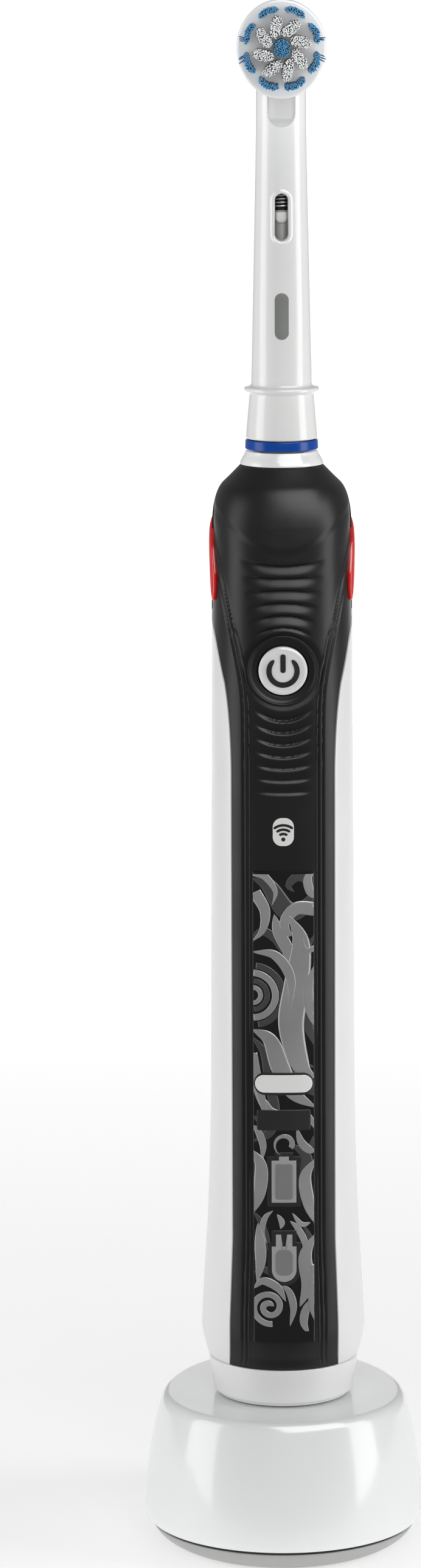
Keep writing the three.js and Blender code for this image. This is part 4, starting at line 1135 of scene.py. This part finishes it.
def oval_disc():
    """An outline of [share of the half size, reach forward] carried round the oval, which is longer below."""
    side = outline((0, DISC_BACK), (0.9, DISC_BACK), (0.955, DISC_BACK, 0.96, DISC_BACK + 0.25),
                   (0.965, DISC_BACK + 0.5), (0.97, DISC_BACK + 0.62, 0.99, DISC_BACK + 0.66),
                   (1.0, DISC_BACK + 0.7, 1.0, DISC_BACK + 0.9), (1.0, DISC_FACE - 0.6),
                   (1.0, DISC_FACE, 0.93, DISC_FACE), (0.7, DISC_FACE), (0.4, DISC_FACE), (0, DISC_FACE))
    angle = np.linspace(0, 2 * math.pi, 160, endpoint=False)
    share, forward = side[:, 0, None], side[:, 1, None]
    tall = np.where(np.cos(angle) > 0, DISC_HALF[1], DISC_LOW)
    return np.stack([share * DISC_HALF[0] * np.sin(angle), np.broadcast_to(-forward, (len(side), 160)),
                     disc_height + share * tall * np.cos(angle)], axis=-1)


def disc_hub():
    """A tube behind the disc that turns on the axle."""
    side = outline((0.85, 0.75), (1.9, 0.7), (2.05, 0.75, 2.05, 0.95), (2.05, DISC_BACK + 0.3),
                   (0.85, DISC_BACK + 0.3), (0.85, 0.75))
    return face_front(turned(side, 48), disc_height)


def fork_prong(side):
    """A short rounded blade beside the ball."""
    h = np.linspace(-3.1, -1.5, 9)
    middle = np.array([side * 0.8, -2.3, 0])
    blade = middle + np.stack([np.zeros(9), np.zeros(9), disc_height + h], axis=1)
    thick = np.array([0.12, 0.2, 0.22, 0.22, 0.22, 0.22, 0.22, 0.22, 0.22])
    return (swept(blade, thick, 12) - middle) * [1, 3.6, 1] + middle


piece("brush_plate", [oval_disc(), disc_hub(), fork_prong(1), fork_prong(-1)], disc_white, "brush_disc",
      ["bristle_disc"], sharp=40)
axle_side = outline((0, -2.7), (0.7, -2.7), (0.75, -2.65), (0.75, 6.3), (0, 6.4))
piece("axle_pin", [face_front(turned(axle_side, 32), disc_height)], shaft_steel, "brush_head", ["disc_axle"])

# ---------------------------------------------------------------------------------------------------------
# The tufts: bundles of fine filaments that stand out of the disc, each with its own outline. A blue round one
# is in the middle, eight white ovals lean like a pinwheel round it, and eight blue crescents edge the disc.

FILAMENT = 0.105  # radius of one filament
PITCH = 0.205  # from filament to filament
SIDES = 6
TIP = 15.3
luck = np.random.default_rng(7)


def bristle(name, root, tip, roughness=0.5):
    """Each filament's colour runs from root to tip by the `along` attribute and varies by its own `tint`; the
    darker root colour is painted shade from deep in the tuft.
    """
    material = finish(name, tip, roughness, mottle=0.06, patch=900, grain=4000, lift=0.000008,
                      Subsurface_Weight=0.1, Subsurface_Scale=0.0006, Sheen_Weight=0.15)
    nodes, links = material.node_tree.nodes, material.node_tree.links
    shader = nodes["Principled BSDF"]
    wander = shader.inputs["Base Color"].links[0].from_socket
    along, tint = nodes.new("ShaderNodeAttribute"), nodes.new("ShaderNodeAttribute")
    along.attribute_name, tint.attribute_name = "along", "tint"
    fade, shade = nodes.new("ShaderNodeMix"), nodes.new("ShaderNodeMix")
    fade.data_type = shade.data_type = "RGBA"
    shade.blend_type = "MULTIPLY"
    # the root colour, darker than the tip, is painted shade from deep in the tuft
    fade.inputs["A"].default_value = (*root, 1)
    shade.inputs["Factor"].default_value = 1
    links.new(along.outputs["Fac"], fade.inputs["Factor"])
    links.new(wander, fade.inputs["B"])
    links.new(fade.outputs["Result"], shade.inputs["A"])
    links.new(tint.outputs["Color"], shade.inputs["B"])
    links.new(shade.outputs["Result"], shader.inputs["Base Color"])
    return material


def rooted(inside, reach):
    """Filament roots on a triangular lattice, moved a little at random, kept where the outline holds them."""
    count = int(reach / PITCH) + 2
    i, j = np.meshgrid(np.arange(-count, count + 1), np.arange(-count, count + 1))
    spots = np.stack([(i + 0.5 * (j % 2)) * PITCH, j * PITCH * 0.866], axis=-1).reshape(-1, 2)
    spots = spots + luck.normal(0, PITCH * 0.14, spots.shape)
    return spots[inside(spots)]


def tuft(name, spots, centre, material, node, splay=0.05):
    """A filament on each spot: rings from root to tip, leaning out from the tuft's middle, round-tipped."""
    count = len(spots)
    lengths = TIP - np.abs(luck.normal(0, 0.09, count))
    share = np.array([0, 0.5, 0.985, 0.996, 1.0])
    thick = FILAMENT * np.array([1, 1, 1, 0.95, 0.8])
    turn = np.linspace(0, 2 * math.pi, SIDES, endpoint=False)
    start = DISC_FACE - 0.4
    forward = start + (lengths[:, None] - start) * share
    lean = (spots - centre) * np.broadcast_to(splay, count)[:, None] + luck.normal(0, 0.07, spots.shape)
    axis = spots[:, None] + lean[:, None] * share[:, None] ** 2
    x = axis[..., 0, None] + thick[:, None] * np.cos(turn)
    z = axis[..., 1, None] + thick[:, None] * np.sin(turn)
    y = np.broadcast_to(-forward[..., None], x.shape)
    points = np.stack([x, y, disc_height + z], axis=-1).reshape(-1, 3) * 0.001 + [0, axis_y, 0]
    rings = len(share)
    sides = grid_faces(rings, SIDES)[:, ::-1]
    first = (np.arange(count) * rings * SIDES)[:, None, None]
    faces = (first + sides).reshape(-1, 4).tolist()
    caps = first[:, 0] + (rings - 1) * SIDES + np.arange(SIDES)[::-1]
    roots = first[:, 0] + np.arange(SIDES)
    mesh = bpy.data.meshes.new(name)
    mesh.from_pydata(points.tolist(), [], faces + caps.tolist() + roots.tolist())
    along = np.tile(np.repeat(share, SIDES), count)
    tint = np.repeat(luck.uniform(0.87, 1.0, count), rings * SIDES)
    mesh.attributes.new("along", "FLOAT", "POINT").data.foreach_set("value", along.astype(np.float32))
    mesh.attributes.new("tint", "FLOAT", "POINT").data.foreach_set("value", tint.astype(np.float32))
    return finished(name, mesh, material, "brush_disc", [node], sharp=60, weld=0, turn_out=False)


# Roots darker than the tips: painted shade inside the tufts.
blue = bristle("bristle_blue", (0.03, 0.2, 0.42), (0.06, 0.33, 0.62))
white = bristle("bristle_white", (0.55, 0.55, 0.55), (0.98, 0.98, 0.97))
tuft("tuft_middle", rooted(lambda p: (p[:, 0] / 1.28) ** 2 + (p[:, 1] / 1.47) ** 2 < 1, 2), np.zeros(2), blue,
     "centre_tuft")


def white_oval(way):
    """Roots in an oval that leans 28 degrees off its spoke: a superellipse of power 2.6. Its middle too."""
    middle = np.array([3.35 * math.cos(way), 3.75 * math.sin(way)])
    lean = way - math.radians(28)
    length_way = np.array([math.cos(lean), math.sin(lean)])
    width_way = np.array([-math.sin(lean), math.cos(lean)])
    return rooted(lambda p: np.abs((p - middle) @ length_way / 1.72) ** 2.6
                  + np.abs((p - middle) @ width_way / 0.84) ** 2.6 < 1, 7), middle


def blue_bow(way):
    """Roots along an arc about a hub on the spoke: the turn from the spoke and the distance from the arc,
    each over its limit and raised to the fourth power, add up to less than 1."""
    hub = np.array([3.45 * math.cos(way), 3.95 * math.sin(way)])

    def inside(p):
        off = p - hub
        turn = (np.arctan2(off[:, 1], off[:, 0]) - way + math.pi) % (2 * math.pi) - math.pi
        return (np.abs(turn) / 0.68) ** 4 + (np.abs(np.hypot(*off.T) - 2.65) / 0.48) ** 4 < 1

    return rooted(inside, 8)


for number in range(8):
    oval, middle = white_oval(math.radians(17 + 45 * number))
    tuft(f"tuft_white_{number + 1}", oval, middle, white, f"inner_tuft_{number + 1}")
    way = math.radians(22.5 + 45 * number)
    bow = blue_bow(way)
    splay = np.full(len(bow), 0.02)
    if abs(math.cos(way)) > 0.9:  # a few filaments beside the disc's waist splay out towards its rim
        splay[np.argsort(-np.abs(bow[:, 0]))[:3]] = luck.uniform(0.12, 0.17, 3)
    tuft(f"tuft_blue_{number + 1}", bow, np.zeros(2), blue, f"outer_tuft_{number + 1}", splay)

# ---------------------------------------------------------------------------------------------------------
# What the housings hide keeps its plain shape: windings, cores, boards, the cell, the motor and its gears.


def windings():
    """Enamelled copper, its turns drawn by bands up the coil."""
    material = finish("enamelled_copper", (0.5, 0.2, 0.08), 0.35, mottle=0.1, patch=200, Metallic=0.8)
    nodes, links = material.node_tree.nodes, material.node_tree.links
    place, turns_of_wire = nodes.new("ShaderNodeTexCoord"), nodes.new("ShaderNodeTexWave")
    turns_of_wire.bands_direction = "Z"
    turns_of_wire.inputs["Scale"].default_value = 900
    bump = nodes["Bump"]
    links.new(place.outputs["Object"], turns_of_wire.inputs["Vector"])
    links.new(turns_of_wire.outputs["Fac"], bump.inputs["Height"])
    bump.inputs["Distance"].default_value = 0.0001
    return material


inner_finishes = {
    "charger_ferrite_core": finish("ferrite_grey", (0.04, 0.04, 0.045), 0.6, 0.3, grain=3000, lift=0.00004),
    "charger_coil_former": clip_white, "charger_primary_coil": windings(), "receiver_coil": windings(),
    "charger_circuit_board": finish("board_lacquer", (0.02, 0.14, 0.05), 0.35, 0.25, patch=500, grain=1500),
    "charger_capacitor": finish("sleeve_blue", (0.03, 0.12, 0.25), 0.3, mottle=0.1, patch=300, grain=1500),
    "battery_cell": finish("cell_sleeve", (0.05, 0.2, 0.3), 0.28, mottle=0.1, patch=200, grain=1500),
    "main_circuit_board": finish("main_board_lacquer", (0.02, 0.12, 0.05), 0.35, 0.3, patch=700, grain=1500),
    "tactile_switch": finish("switch_black", (0.02, 0.02, 0.02), 0.5, mottle=0.2, grain=2500),
    "cap_seal_ring": seal_rubber, "chassis": clip_white, "crank_gear": rod_grey_painted_shade, "rocker_arm": rod_grey_painted_shade,
    "motor_can": shaft_steel, "motor_pinion": shaft_steel,
    "lower_shaft_bush": clip_white, "upper_shaft_bush": clip_white,
}
for node, material in inner_finishes.items():
    for part_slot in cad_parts[node].material_slots:
        part_slot.material = material
